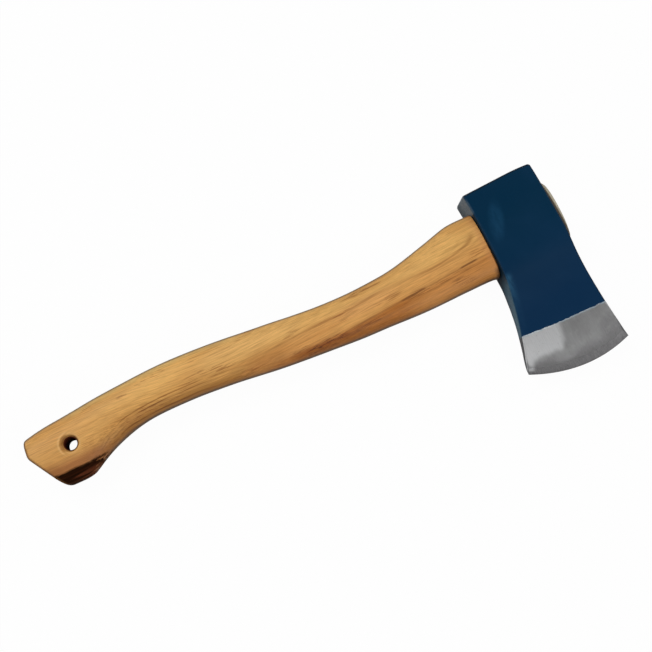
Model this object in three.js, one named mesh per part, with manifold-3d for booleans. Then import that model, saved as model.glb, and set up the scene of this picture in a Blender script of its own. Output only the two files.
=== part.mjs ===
// A one-hand hatchet: a drop-forged head wedged onto a curved hickory haft.
// Millimetres. The hatchet lies on one cheek: Z is its thickness, X runs along
// the haft (butt at -X, crown at +X) and +Y points to the poll.
// The origin is on the lower cheek, under the middle of the eye.

import * as THREE from 'three';
import * as BufferGeometryUtils from 'three/addons/utils/BufferGeometryUtils.js';
import Module from 'manifold-3d';

// ---------------------------------------------------------------- dimensions

// head
const HEAD_THICKNESS = 25.0;       // across the two flat cheeks
const MID_Z = HEAD_THICKNESS / 2;
const POLL_Y = 33.9;               // flat hammer face
const POLL_CHAMFER = 1.2;          // bevel all round the poll face
const CORNER_RADIUS = 1.3;         // rounding between cheeks and side faces
const MAX_CORNER_SHARE = 0.45;     // most of the thickness a corner radius may take
const CHEEK_STEPS = 12;            // segments across a cheek
const CORNER_STEPS = 3;            // segments round a corner
const EDGE_SAGITTA = 6.6;          // bow of the cutting edge over its chord
const EDGE_THICKNESS = 0.4;        // land left at the cutting edge

// Rows of the head from the poll to the cutting edge. Each row is a line from
// the side face at -X (towards the grip) to the side face at +X:
// [y at -X side, x at -X side, y at +X side, x at +X side, thickness, share of the edge's bow]
const HEAD_ROWS = [
  [POLL_Y, -23.2, POLL_Y, 22.9, HEAD_THICKNESS - 2 * POLL_CHAMFER, 0],
  [POLL_Y - 0.35, -23.55, POLL_Y - 0.35, 23.25, HEAD_THICKNESS - 1.3, 0],
  [POLL_Y - POLL_CHAMFER, -23.8, POLL_Y - POLL_CHAMFER, 23.5, HEAD_THICKNESS, 0],
  [24.0, -23.6, 24.0, 23.6, HEAD_THICKNESS, 0],
  [-9.0, -24.5, -9.0, 23.4, HEAD_THICKNESS, 0],
  [-15.0, -24.8, -15.0, 23.1, 24.2, 0],
  [-21.0, -25.2, -21.0, 22.8, 22.3, 0],
  [-27.0, -25.8, -27.0, 22.5, 19.8, 0],
  [-34.0, -27.2, -34.0, 22.4, 17.0, 0],
  [-42.0, -28.9, -43.0, 22.55, 13.9, 0],
  [-50.0, -30.9, -53.0, 23.0, 11.1, 0.02],
  [-58.8, -33.6, -63.8, 23.7, 8.2, 0.06],
  [-66.0, -36.0, -71.9, 24.45, 6.3, 0.25],
  [-72.5, -38.45, -79.0, 25.25, 4.4, 0.55],
  [-76.9, -39.8, -84.2, 25.8, 2.7, 0.82],
  [-80.2, -40.2, -88.1, 26.25, EDGE_THICKNESS, 1.0],
];

// eye: an oval hole along X, cut past both side faces
const OVAL_POINTS = 36;            // points round every oval ring
const EYE_Y = 1.0;                 // centre of the oval
const EYE_POWER = 2.5;             // superellipse exponent
// [x, half length along Y, half width along Z]; waisted in the middle
const EYE_ROWS = [
  [-40.0, 19.8, 8.35], [-24.0, 19.8, 8.35], [-6.0, 19.5, 8.1],
  [10.0, 19.9, 8.5], [24.0, 20.3, 8.9], [40.0, 20.3, 8.9],
];

// haft below the head: [x, back edge y (poll side), belly edge y, half thickness]
const HAFT_ROWS = [
  [-334, 24.4, -7.6, 11.5], [-324, 26.2, -8.4, 11.7], [-315, 27.6, -9.4, 11.8],
  [-307, 28.3, -9.9, 11.9], [-299, 28.6, -10.2, 11.9], [-295, 28.8, -9.7, 11.85],
  [-291, 29.0, -7.9, 11.75], [-287, 29.2, -5.9, 11.6], [-283, 29.5, -4.1, 11.4],
  [-275, 29.9, -1.1, 11], [-267, 30.1, 1.1, 10.7], [-259, 30.1, 2.7, 10.4],
  [-251, 30.3, 3.4, 10.25], [-243, 30.2, 3.3, 10.2], [-235, 30.1, 2.9, 10.2],
  [-227, 29.6, 2.3, 10.2], [-219, 28.9, 1.6, 10.2], [-211, 28.1, 0.5, 10.2],
  [-203, 27.1, -0.6, 10.2], [-195, 26.1, -1.8, 10.2], [-187, 24.8, -3.3, 10.2],
  [-179, 23.5, -4.8, 10.2], [-171, 22.3, -6.3, 10.2], [-163, 21.2, -7.5, 10.2],
  [-155, 19.7, -8.6, 10.2], [-147, 18.5, -9.7, 10.2], [-139, 17.3, -10.7, 10.2],
  [-131, 16.4, -11.7, 10.2], [-123, 15.7, -12.8, 10.2], [-115, 15.2, -13.7, 10.2],
  [-107, 15.0, -14.3, 10.2], [-99, 15.1, -14.9, 10.25], [-91, 15.2, -15.8, 10.3],
  [-83, 15.7, -16.6, 10.35], [-75, 17.0, -17.3, 10.4], [-67, 18.5, -17.7, 10.45],
  [-59, 20.0, -17.9, 10.5], [-51, 21.7, -18.1, 10.55], [-43, 23.4, -18.4, 10.6],
  [-38, 23.8, -18.6, 10.6], [-33, 23.6, -18.8, 10.6], [-29, 23.4, -19.2, 10.6],
];
const HAFT_END_X = HAFT_ROWS.at(-1)[0];
const HAFT_POWER = 2.7;            // superellipse exponent of the grip
const SQUARING_START_X = -60;      // from here the section grows squarer to the shoulder
const LEANING_START_X = -45;       // from here the rings tilt towards the shoulder's lean

// shoulder: where the haft steps in to the tongue, just clear of the head
const SHOULDER_X = -24.62;
const SHOULDER_LEAN = 0.038;       // x per y; follows the head's side face
const SHOULDER_Y = 1.6;            // middle of the shoulder's oval
const SHOULDER_HALF_LENGTH = 21.5;
const SHOULDER_HALF_WIDTH = 10.6;
const SHOULDER_POWER = 3.2;
// the rounded rim: [x from the shoulder, share of the way in to the tongue]
const SHOULDER_RIM = [[-1.0, 0.05], [-0.45, 0.24], [-0.15, 0.54], [0, 1]];

// tongue: the part of the haft inside the eye
const EYE_FIT_GAP = 0.25;          // tongue to eye wall
const TONGUE_RINGS = { from: -22, to: 22, step: 5.5 };

// crown: the top of the haft, proud of the head
const CROWN_X = 28.0;
const CROWN_LEAN = 0.048;          // x per y; the crown dips towards the cutting edge
const [, CROWN_HALF_LENGTH, CROWN_HALF_WIDTH] = EYE_ROWS.at(-1);
// the rounded rim: [depth below the top, inset from the eye, share of the lean]
const CROWN_ROWS = [
  [3.0, 0.25, 0.4], [1.8, 0.6, 1], [1.1, 1.3, 1], [0.6, 2.5, 1],
  [0.25, 4.1, 1], [0.08, 6.0, 1], [0, 7.6, 1],
];

// butt of the haft, trimmed along three lines in XY, each [start, end]
const TOE_START = [-324.9, 14.6];  // where the end cut meets the toe cut
const BUTT_CUTS = [
  [[-324.0, 26.0], TOE_START],         // end
  [TOE_START, [-313.2, -8.0]],         // slanted toe
  [[-314.4, -6.5], [-311.0, -10.1]],   // corner of toe and belly
];
const CUTTER_SIZE = 90;

// lanyard hole
const HOLE_X = -299.2;
const HOLE_Y = 11.2;
const HOLE_RADIUS = 3.75;
const HOLE_SEGMENTS = 36;
const HOLE_OVERRUN = 3;            // how far the cutting solid passes each face
// the eased mouths on both faces: [depth below the face, how much wider than the bore]
const HOLE_RIM = [[2.8, 0], [1.8, 0.25], [1.0, 0.7], [0.45, 1.3], [0, 2.1]];

// kerf and wooden wedge
const FIT_GAP = 0.25;              // round each wedge
const KERF_BOTTOM_X = -16.0;
const KERF_WIDTH = 1.3;            // saw cut below the wedge
const WEDGE_TIP_X = -8.0;
const WEDGE_TIP_GAP = 0.4;         // below the wedge's tip
const WEDGE_TOP_WIDTH = 4.6;       // at the crown
const WEDGE_TIP_WIDTH = 0.9;
const CUT_TOP_X = 40;              // wedge blank, kerf and pockets run on past the crown
const SLOT_HALF_LENGTH = 30;       // along Y, past both ends of the eye
// trimming the wooden wedge: clearance to the eye's walls and to the crown's rim
const WEDGE_TRIM_RINGS = { from: -20, to: 22, step: 6 };
const WEDGE_WALL_GAP = 0.6;
const WEDGE_RIM_GAP = 0.2;

// steel cross wedges
const STEEL_WEDGE_Y = [9.5, -8.0];
const STEEL_WEDGE_LENGTH = 22.0;
const STEEL_WEDGE_TOP = 3.0;       // thickness at the struck end
const STEEL_WEDGE_TIP = 0.7;
const STEEL_WEDGE_WIDTH = 12.5;    // across the kerf
const STEEL_WEDGE_STEPS = 4;
const STEEL_WEDGE_NOTCH = 0.12;    // height of each step on either face
const STEEL_WEDGE_SINK = 0.85;     // driven just below the crown

// ------------------------------------------------------------------- solids

const wasm = await Module();
wasm.setup();

// A closed geometry to a solid, keeping position only.
function toSolid(geometry) {
  const bare = geometry.clone();
  for (const name of Object.keys(bare.attributes)) {
    if (name !== 'position') bare.deleteAttribute(name);
  }
  const merged = BufferGeometryUtils.mergeVertices(bare, 1e-4);
  return new wasm.Manifold(new wasm.Mesh({
    numProp: 3,
    vertProperties: new Float32Array(merged.attributes.position.array),
    triVerts: new Uint32Array(merged.index.array),
  }));
}

function toGeometry(solid) {
  const mesh = solid.getMesh();
  const geometry = new THREE.BufferGeometry();
  const positions = new Float32Array(mesh.vertProperties);
  geometry.setAttribute('position', new THREE.BufferAttribute(positions, 3));
  geometry.setIndex(new THREE.BufferAttribute(new Uint32Array(mesh.triVerts), 1));
  geometry.computeVertexNormals();
  return geometry;
}

// A closed skin over rings of equal length, each end closed by a fan from its
// centre. Each ring runs counter-clockwise as seen from the last ring looking
// back to the first.
function loft(rings) {
  const count = rings[0].length;
  const positions = rings.flat().flatMap((point) => point.toArray());
  const index = [];
  for (let r = 0; r + 1 < rings.length; r++) {
    for (let i = 0; i < count; i++) {
      const here = r * count + i;
      const next = r * count + (i + 1) % count;
      index.push(here, next, next + count, here, next + count, here + count);
    }
  }
  const addCap = (r, flip) => {
    const centre = rings[r].reduce((sum, point) => sum.add(point), new THREE.Vector3())
      .divideScalar(count);
    const hub = positions.length / 3;
    positions.push(...centre.toArray());
    for (let i = 0; i < count; i++) {
      const here = r * count + i;
      const next = r * count + (i + 1) % count;
      if (flip) index.push(hub, next, here);
      else index.push(hub, here, next);
    }
  };
  addCap(0, true);
  addCap(rings.length - 1, false);

  const geometry = new THREE.BufferGeometry();
  geometry.setAttribute('position', new THREE.Float32BufferAttribute(positions, 3));
  geometry.setIndex(index);
  return toSolid(geometry);
}

// An outline in the XY plane, extruded along +Z.
function extrude(outline, depth) {
  const shape = new THREE.Shape(outline.map(([x, y]) => new THREE.Vector2(x, y)));
  return new THREE.ExtrudeGeometry(shape, { depth, bevelEnabled: false });
}

// A closed outline from one side of it, [x, half width], mirrored about the X axis.
function mirrored(side) {
  return [...side.map(([x, half]) => [x, -half]), ...side.slice().reverse()];
}

// Smooth (cubic Hermite) interpolation of a table's column by its first column.
function tableCurve(rows, column) {
  const xs = rows.map((row) => row[0]);
  const values = rows.map((row) => row[column]);
  const last = xs.length - 1;
  const slopes = xs.map((_, i) => {
    const before = Math.max(i - 1, 0);
    const after = Math.min(i + 1, last);
    return (values[after] - values[before]) / (xs[after] - xs[before]);
  });
  return (x) => {
    let i = 0;
    while (i < last - 1 && x > xs[i + 1]) i++;
    const span = xs[i + 1] - xs[i];
    const t = (x - xs[i]) / span;
    return (2 * t ** 3 - 3 * t ** 2 + 1) * values[i]
      + (t ** 3 - 2 * t ** 2 + t) * span * slopes[i]
      + (-2 * t ** 3 + 3 * t ** 2) * values[i + 1]
      + (t ** 3 - t ** 2) * span * slopes[i + 1];
  };
}

// A superellipse ring about the X direction. lean tilts it with y.
function ovalRing(x, centreY, halfLength, halfWidth, power, lean = 0) {
  const bulge = (value) => Math.sign(value) * Math.abs(value) ** (2 / power);
  const ring = [];
  for (let i = 0; i < OVAL_POINTS; i++) {
    const angle = (i / OVAL_POINTS) * 2 * Math.PI;
    const y = halfLength * bulge(Math.cos(angle));
    const z = halfWidth * bulge(Math.sin(angle));
    ring.push(new THREE.Vector3(x + lean * y, centreY + y, MID_Z + z));
  }
  return ring;
}

const eyeHalfLength = tableCurve(EYE_ROWS, 1);
const eyeHalfWidth = tableCurve(EYE_ROWS, 2);

// The eye's section at x, drawn in by gap.
function eyeRing(x, gap) {
  return ovalRing(x, EYE_Y, eyeHalfLength(x) - gap, eyeHalfWidth(x) - gap, EYE_POWER);
}

function eyeRings({ from, to, step }, gap) {
  const rings = [];
  for (let x = from; x <= to; x += step) rings.push(eyeRing(x, gap));
  return rings;
}

// The crown's rim; adjustInset maps the table's insets to the ones wanted.
function crownRings(adjustInset) {
  return CROWN_ROWS.map(([depth, tableInset, leanShare]) => {
    const inset = adjustInset(tableInset);
    return ovalRing(CROWN_X - depth, EYE_Y, CROWN_HALF_LENGTH - inset,
      CROWN_HALF_WIDTH - inset, EYE_POWER, CROWN_LEAN * leanShare);
  });
}

// --------------------------------------------------------------------- head

// One row of the head: a rectangle with rounded corners that follows the row's
// line across the cheeks, bowed towards the cutting edge by its share.
function headRing([yLow, xLow, yHigh, xHigh, thickness, bowShare]) {
  const half = thickness / 2;
  const radius = Math.min(CORNER_RADIUS, MAX_CORNER_SHARE * thickness);
  const corner = radius / (xHigh - xLow);
  const quarter = Math.PI / 2;

  // the upper cheek and the +X side face: [share of the way across, z from the middle]
  const outline = [];
  for (let k = 0; k <= CHEEK_STEPS; k++) {
    outline.push([corner + (1 - 2 * corner) * (k / CHEEK_STEPS), half]);
  }
  for (let k = 1; k <= CORNER_STEPS; k++) {
    const angle = (k / CORNER_STEPS) * quarter;
    outline.push([
      1 - corner + corner * Math.sin(angle),
      half - radius + radius * Math.cos(angle),
    ]);
  }
  for (let k = 0; k < CORNER_STEPS; k++) {
    const angle = (k / CORNER_STEPS) * quarter;
    outline.push([
      1 - corner + corner * Math.cos(angle),
      -half + radius - radius * Math.sin(angle),
    ]);
  }
  // the lower cheek and the -X side face are the same, turned half round
  const opposite = outline.map(([across, z]) => [1 - across, -z]);

  return [...outline, ...opposite].map(([across, z]) => {
    const bow = bowShare * EDGE_SAGITTA * 4 * across * (1 - across);
    return new THREE.Vector3(
      xLow + (xHigh - xLow) * across,
      yLow + (yHigh - yLow) * across - bow,
      MID_Z + z,
    );
  });
}

function makeHead() {
  const blank = loft(HEAD_ROWS.map(headRing).reverse());
  return blank.subtract(loft(EYE_ROWS.map(([x]) => eyeRing(x, 0))));
}

// --------------------------------------------------------------------- haft

const mix = (from, to, share) => from + (to - from) * share;
const haftBack = tableCurve(HAFT_ROWS, 1);
const haftBelly = tableCurve(HAFT_ROWS, 2);
const haftHalfThickness = tableCurve(HAFT_ROWS, 3);

function haftRing(x) {
  // 0 up to the start, growing to 1 at the last row
  const shareFrom = (start) => Math.max(0, (x - start) / (HAFT_END_X - start));
  const back = haftBack(x);
  const belly = haftBelly(x);
  return ovalRing(x, (back + belly) / 2, (back - belly) / 2, haftHalfThickness(x),
    mix(HAFT_POWER, SHOULDER_POWER, shareFrom(SQUARING_START_X)),
    SHOULDER_LEAN * shareFrom(LEANING_START_X));
}

function shoulderRing([offset, share]) {
  const x = SHOULDER_X + offset;
  return ovalRing(x,
    mix(SHOULDER_Y, EYE_Y, share),
    mix(SHOULDER_HALF_LENGTH, eyeHalfLength(x) - EYE_FIT_GAP, share),
    mix(SHOULDER_HALF_WIDTH, eyeHalfWidth(x) - EYE_FIT_GAP, share),
    mix(SHOULDER_POWER, EYE_POWER, share),
    SHOULDER_LEAN);
}

// A box to cut with, on the right of the line from start to end as seen from +Z.
function makeCutter([startX, startY], [endX, endY]) {
  const length = Math.hypot(endX - startX, endY - startY);
  const normalX = (endY - startY) / length;
  const normalY = -(endX - startX) / length;
  const box = new THREE.BoxGeometry(CUTTER_SIZE, CUTTER_SIZE, CUTTER_SIZE);
  box.rotateZ(Math.atan2(normalY, normalX));
  box.translate(
    (startX + endX) / 2 + normalX * CUTTER_SIZE / 2,
    (startY + endY) / 2 + normalY * CUTTER_SIZE / 2,
    MID_Z,
  );
  return toSolid(box);
}

// The lanyard hole, its mouths eased like a trumpet's.
function makeHole() {
  const faceZ = haftHalfThickness(HOLE_X);
  const outerZ = faceZ + HOLE_OVERRUN;
  const [[nearDepth, nearWider], [faceDepth, faceWider]] = HOLE_RIM.slice(-2);
  // beyond the face the mouth keeps widening at the slope of its last stretch
  const slope = (faceWider - nearWider) / (nearDepth - faceDepth);
  const mouth = [
    ...HOLE_RIM.map(([depth, wider]) => [HOLE_RADIUS + wider, faceZ - depth]),
    [HOLE_RADIUS + faceWider + slope * HOLE_OVERRUN, outerZ],
    [0, outerZ],
  ];
  const profile = [...mouth.map(([radius, z]) => [radius, -z]).reverse(), ...mouth]
    .map(([radius, z]) => new THREE.Vector2(radius, z));
  const geometry = new THREE.LatheGeometry(profile, HOLE_SEGMENTS);
  geometry.rotateX(Math.PI / 2);
  geometry.translate(HOLE_X, HOLE_Y, MID_Z);
  return toSolid(geometry);
}

function makeHaft(pockets) {
  const blank = loft([
    ...HAFT_ROWS.map(([x]) => haftRing(x)),
    ...SHOULDER_RIM.map(shoulderRing),
    ...eyeRings(TONGUE_RINGS, EYE_FIT_GAP),
    ...crownRings((inset) => inset),
  ]);
  const cutters = BUTT_CUTS.map(([start, end]) => makeCutter(start, end));
  return [...cutters, makeHole(), makeKerf(), ...pockets]
    .reduce((solid, cut) => solid.subtract(cut), blank);
}

// ------------------------------------------------------------------- wedges

// A wedge or slot lying along the eye, by one side of its outline in XZ.
function makeSlot(side) {
  const geometry = extrude(mirrored(side), 2 * SLOT_HALF_LENGTH);
  geometry.rotateX(Math.PI / 2);
  geometry.translate(0, EYE_Y + SLOT_HALF_LENGTH, MID_Z);
  return toSolid(geometry);
}

// Half the wooden wedge's width at x.
function wedgeHalf(x) {
  const slope = (WEDGE_TOP_WIDTH - WEDGE_TIP_WIDTH) / 2 / (CROWN_X - WEDGE_TIP_X);
  return WEDGE_TIP_WIDTH / 2 + slope * (x - WEDGE_TIP_X);
}

// The saw cut, opened out round the wooden wedge.
function makeKerf() {
  const openingX = WEDGE_TIP_X - WEDGE_TIP_GAP;
  return makeSlot([
    [KERF_BOTTOM_X, KERF_WIDTH / 2],
    [openingX, KERF_WIDTH / 2],
    [openingX, wedgeHalf(WEDGE_TIP_X) + FIT_GAP],
    [CUT_TOP_X, wedgeHalf(CUT_TOP_X) + FIT_GAP],
  ]);
}

// The wooden wedge, pared flush with the crown and clear of the eye's walls.
function makeWoodenWedge(pockets) {
  const blank = makeSlot([WEDGE_TIP_X, CUT_TOP_X].map((x) => [x, wedgeHalf(x)]));
  const trim = loft([
    ...eyeRings(WEDGE_TRIM_RINGS, WEDGE_WALL_GAP),
    ...crownRings((inset) => Math.max(inset + WEDGE_RIM_GAP, WEDGE_WALL_GAP)),
  ]);
  return pockets.reduce((solid, pocket) => solid.subtract(pocket), blank.intersect(trim));
}

// The struck end of a steel wedge centred on y.
function steelWedgeTopX(y) {
  return CROWN_X + CROWN_LEAN * (y - EYE_Y) - STEEL_WEDGE_SINK;
}

// A solid across the kerf from an outline of [x, offset along Y from y].
function makeCrossPiece(y, outline, width) {
  const geometry = extrude(outline.map(([x, offset]) => [x, y + offset]), width);
  geometry.translate(0, 0, MID_Z - width / 2);
  return toSolid(geometry);
}

// A steel wedge, stepped on both faces.
function makeSteelWedge(y) {
  const topX = steelWedgeTopX(y);
  const step = STEEL_WEDGE_LENGTH / STEEL_WEDGE_STEPS;
  const halfAt = (k) => mix(STEEL_WEDGE_TOP / 2, STEEL_WEDGE_TIP / 2, k / STEEL_WEDGE_STEPS);
  const side = [];
  for (let k = 0; k < STEEL_WEDGE_STEPS; k++) {
    const startX = topX - k * step;
    const notch = k + 1 < STEEL_WEDGE_STEPS ? STEEL_WEDGE_NOTCH : 0;
    side.push([startX, halfAt(k)], [startX - step, halfAt(k + 1) - notch]);
  }
  return makeCrossPiece(y, mirrored(side), STEEL_WEDGE_WIDTH);
}

// The room for a steel wedge, open through the crown.
function makePocket(y) {
  const topX = steelWedgeTopX(y);
  const tipX = topX - STEEL_WEDGE_LENGTH - FIT_GAP;
  const topHalf = STEEL_WEDGE_TOP / 2 + FIT_GAP;
  const tipHalf = STEEL_WEDGE_TIP / 2 + FIT_GAP;
  const outline = [
    [CUT_TOP_X, topHalf], [CUT_TOP_X, -topHalf], [topX, -topHalf],
    [tipX, -tipHalf], [tipX, tipHalf], [topX, topHalf],
  ];
  return makeCrossPiece(y, outline, STEEL_WEDGE_WIDTH + 2 * FIT_GAP);
}

// -------------------------------------------------------------------- scene

const FINISHES = {
  darkBlue: { color: 0x14304a, roughness: 0.38, metalness: 0.35 },
  hickory: { color: 0xc9965a, roughness: 0.5, metalness: 0.0 },
  paleWood: { color: 0xd9c094, roughness: 0.65, metalness: 0.0 },
  bareSteel: { color: 0x8b8e92, roughness: 0.45, metalness: 0.9 },
};

function makePart(name, solid, finish) {
  const mesh = new THREE.Mesh(toGeometry(solid), new THREE.MeshStandardMaterial(finish));
  mesh.name = name;
  return mesh;
}

const pockets = STEEL_WEDGE_Y.map(makePocket);
const [frontWedge, rearWedge] = STEEL_WEDGE_Y.map(makeSteelWedge);

const hatchet = new THREE.Group();
hatchet.name = 'hatchet';
hatchet.add(
  makePart('axe_head', makeHead(), FINISHES.darkBlue),
  makePart('haft', makeHaft(pockets), FINISHES.hickory),
  makePart('wooden_wedge', makeWoodenWedge(pockets), FINISHES.paleWood),
  makePart('steel_wedge_front', frontWedge, FINISHES.bareSteel),
  makePart('steel_wedge_rear', rearWedge, FINISHES.bareSteel),
);

export default hatchet;
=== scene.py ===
# A one-hand hatchet lying on its cheek: enamelled forged head with a ground bit, hickory haft,
# and an eye wedged with hardwood and steel. X runs along the haft with the butt at -X, +Y is
# towards the poll and +Z is through the thickness. Shapes are in mm and meshes in metres.
import math
from types import SimpleNamespace

import bmesh
import bpy
import numpy as np
from mathutils import Matrix, Vector, noise


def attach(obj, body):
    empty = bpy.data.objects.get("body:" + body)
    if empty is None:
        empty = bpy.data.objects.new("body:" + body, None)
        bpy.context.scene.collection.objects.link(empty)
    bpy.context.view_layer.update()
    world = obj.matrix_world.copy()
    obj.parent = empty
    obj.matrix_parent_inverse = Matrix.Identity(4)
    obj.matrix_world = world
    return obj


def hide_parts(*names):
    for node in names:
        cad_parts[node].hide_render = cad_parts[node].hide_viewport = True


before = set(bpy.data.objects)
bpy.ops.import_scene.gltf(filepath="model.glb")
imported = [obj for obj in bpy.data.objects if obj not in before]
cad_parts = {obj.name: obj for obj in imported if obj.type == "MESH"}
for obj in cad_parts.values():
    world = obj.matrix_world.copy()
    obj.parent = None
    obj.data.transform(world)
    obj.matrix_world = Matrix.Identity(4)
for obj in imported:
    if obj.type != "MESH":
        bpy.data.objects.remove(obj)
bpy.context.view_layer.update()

MM = 0.001
MID_Z = 12.5            # middle of the thickness
EYE_Y = 1.0             # middle of the eye
EYE_POWER = 2.5         # superellipse power of the eye and the tongue in it
SHOULDER_LEAN = 0.038   # x gained per mm of y where the haft meets the head
CROWN_LEAN = 0.048      # the same over the top of the eye


# ------------------------------------------------------------------ numbers
def hermite(rows, column, x):
    """Smooth curve through a table's column, by its first column."""
    xs = np.array([row[0] for row in rows], float)
    ys = np.array([row[column] for row in rows], float)
    slope = np.gradient(ys, xs)
    x = np.asarray(x, float)
    i = np.clip(np.searchsorted(xs, x) - 1, 0, len(xs) - 2)
    h = xs[i + 1] - xs[i]
    t = (x - xs[i]) / h
    return ((2 * t**3 - 3 * t**2 + 1) * ys[i] + (t**3 - 2 * t**2 + t) * h * slope[i]
            + (-2 * t**3 + 3 * t**2) * ys[i + 1] + (t**3 - t**2) * h * slope[i + 1])


def smoothed(rows, column, spread):
    """A table's column as a function of x, gaussian-smoothed by spread(x) mm."""
    step = 0.25
    xs = np.arange(rows[0][0], rows[-1][0] + 0.001, step)
    ys = hermite(rows, column, xs)
    last = len(ys) - 1
    out = ys.copy()
    for k, x in enumerate(xs):
        sigma = spread(x)
        reach = int(3 * sigma / step)
        idx = np.arange(k - reach, k + reach + 1)
        weight = np.exp(-0.5 * ((idx - k) * step / sigma) ** 2)
        # mirror about the ends by value, so the ends hold still
        before = 2 * ys[0] - ys[np.clip(-idx, 0, last)]
        after = 2 * ys[-1] - ys[np.clip(2 * last - idx, 0, last)]
        within = ys[np.clip(idx, 0, last)]
        values = np.where(idx < 0, before, np.where(idx > last, after, within))
        out[k] = (values * weight).sum() / weight.sum()
    return lambda x: np.interp(x, xs, out)


def oval(count, half_y, half_z, power):
    """Points evenly spaced round a superellipse, anticlockwise from +half_y. (count, 2)"""
    t = np.linspace(0, 2 * np.pi, 2001)
    c, s = np.cos(t), np.sin(t)
    p = np.stack([half_y * np.sign(c) * np.abs(c) ** (2 / power),
                  half_z * np.sign(s) * np.abs(s) ** (2 / power)], 1)
    length = np.concatenate([[0], np.cumsum(np.linalg.norm(np.diff(p, axis=0), axis=1))])
    want = np.linspace(0, length[-1], count, endpoint=False)
    return np.stack([np.interp(want, length, p[:, 0]), np.interp(want, length, p[:, 1])], 1)


# ------------------------------------------------------------------- meshes
def mesh_object(name, verts, faces):
    mesh = bpy.data.meshes.new(name)
    mesh.from_pydata((np.asarray(verts, float) * MM).tolist(), [], faces)
    mesh.validate()
    mesh.update()
    body = bpy.data.objects.new(name, mesh)
    bpy.context.scene.collection.objects.link(body)
    return body


def solid(name, verts, faces):
    """A closed mesh with its normals outward."""
    body = mesh_object(name, verts, faces)
    bm = bmesh.new()
    bm.from_mesh(body.data)
    bmesh.ops.recalc_face_normals(bm, faces=bm.faces)
    if bm.calc_volume(signed=True) < 0:
        bmesh.ops.reverse_faces(bm, faces=bm.faces)
    bm.to_mesh(body.data)
    bm.free()
    return body


def walls(rings):
    """Verts and quads over rings of equal count, open at both ends."""
    n = len(rings[0])
    verts = [point for ring in rings for point in ring]
    faces = []
    for r in range(len(rings) - 1):
        for i in range(n):
            a, b = r * n + i, r * n + (i + 1) % n
            faces.append((a, b, b + n, a + n))
    return verts, faces


def skin(rings, pole_start, pole_end=None):
    """Walls closed by a fan to a pole at the start, and at the end if it has a pole."""
    n = len(rings[0])
    verts, faces = walls(rings)
    pole = len(verts)
    verts.append(pole_start)
    faces += [(pole, (i + 1) % n, i) for i in range(n)]
    if pole_end is not None:
        base = pole - n
        verts.append(pole_end)
        faces += [(pole + 1, base + i, base + (i + 1) % n) for i in range(n)]
    return verts, faces


def capped_bar(name, rings):
    """Walls closed by one flat face at each end."""
    n = len(rings[0])
    verts, faces = walls(rings)
    faces += [tuple(range(n))[::-1], tuple(range(len(verts) - n, len(verts)))]
    return solid(name, verts, faces)


def boolean(body, tool, operation="DIFFERENCE", keep_tool=False):
    """body cut by tool, with the result in body's own mesh."""
    modifier = body.modifiers.new("cut", "BOOLEAN")
    modifier.operation = operation
    modifier.object = tool
    # the exact solver takes over if the manifold one refuses the pair and gives nothing
    for solver in ("MANIFOLD", "EXACT"):
        modifier.solver = solver
        bpy.context.view_layer.update()
        depsgraph = bpy.context.evaluated_depsgraph_get()
        result = bpy.data.meshes.new_from_object(body.evaluated_get(depsgraph))
        if len(result.polygons):
            break
    body.modifiers.clear()
    old = body.data
    name = old.name
    body.data = result
    bpy.data.meshes.remove(old)
    result.name = name
    if not keep_tool:
        bpy.data.objects.remove(tool)


def finish_mesh(body, crease):
    """Welds the mesh, smooths its faces and marks edges sharper than crease degrees."""
    weld = 2e-6
    bm = bmesh.new()
    bm.from_mesh(body.data)
    bmesh.ops.remove_doubles(bm, verts=bm.verts, dist=weld)
    bmesh.ops.dissolve_degenerate(bm, edges=bm.edges, dist=weld)
    bmesh.ops.recalc_face_normals(bm, faces=bm.faces)
    bm.to_mesh(body.data)
    bm.free()
    for polygon in body.data.polygons:
        polygon.use_smooth = True
    body.data.set_sharp_from_angle(angle=math.radians(crease))
    body.data.update()


# ----------------------------------------------------------------- the haft
HAFT = [  # x, y of the back, y of the belly, half thickness
    (-334, 24.4, -7.6, 11.5), (-324, 26.2, -8.4, 11.7), (-315, 27.6, -9.4, 11.8),
    (-307, 28.3, -9.9, 11.9), (-299, 28.6, -10.2, 11.9), (-295, 28.8, -9.7, 11.85),
    (-291, 29.0, -7.9, 11.75), (-287, 29.2, -5.9, 11.6), (-283, 29.5, -4.1, 11.4),
    (-275, 29.9, -1.1, 11), (-267, 30.1, 1.1, 10.7), (-259, 30.1, 2.7, 10.4),
    (-251, 30.3, 3.4, 10.25), (-243, 30.2, 3.3, 10.2), (-235, 30.1, 2.9, 10.2),
    (-227, 29.6, 2.3, 10.2), (-219, 28.9, 1.6, 10.2), (-211, 28.1, 0.5, 10.2),
    (-203, 27.1, -0.6, 10.2), (-195, 26.1, -1.8, 10.2), (-187, 24.8, -3.3, 10.2),
    (-179, 23.5, -4.8, 10.2), (-171, 22.3, -6.3, 10.2), (-163, 21.2, -7.5, 10.2),
    (-155, 19.7, -8.6, 10.2), (-147, 18.5, -9.7, 10.2), (-139, 17.3, -10.7, 10.2),
    (-131, 16.4, -11.7, 10.2), (-123, 15.7, -12.8, 10.2), (-115, 15.2, -13.7, 10.2),
    (-107, 15.0, -14.3, 10.2), (-99, 15.1, -14.9, 10.25), (-91, 15.2, -15.8, 10.3),
    (-83, 15.7, -16.6, 10.35), (-75, 17.0, -17.3, 10.4), (-67, 18.5, -17.7, 10.45),
    (-59, 20.0, -17.9, 10.5), (-51, 21.7, -18.1, 10.55), (-43, 23.4, -18.4, 10.6),
    (-38, 23.8, -18.6, 10.6), (-33, 23.6, -18.8, 10.6), (-24, 23.1, -19.7, 10.6),
]
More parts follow.
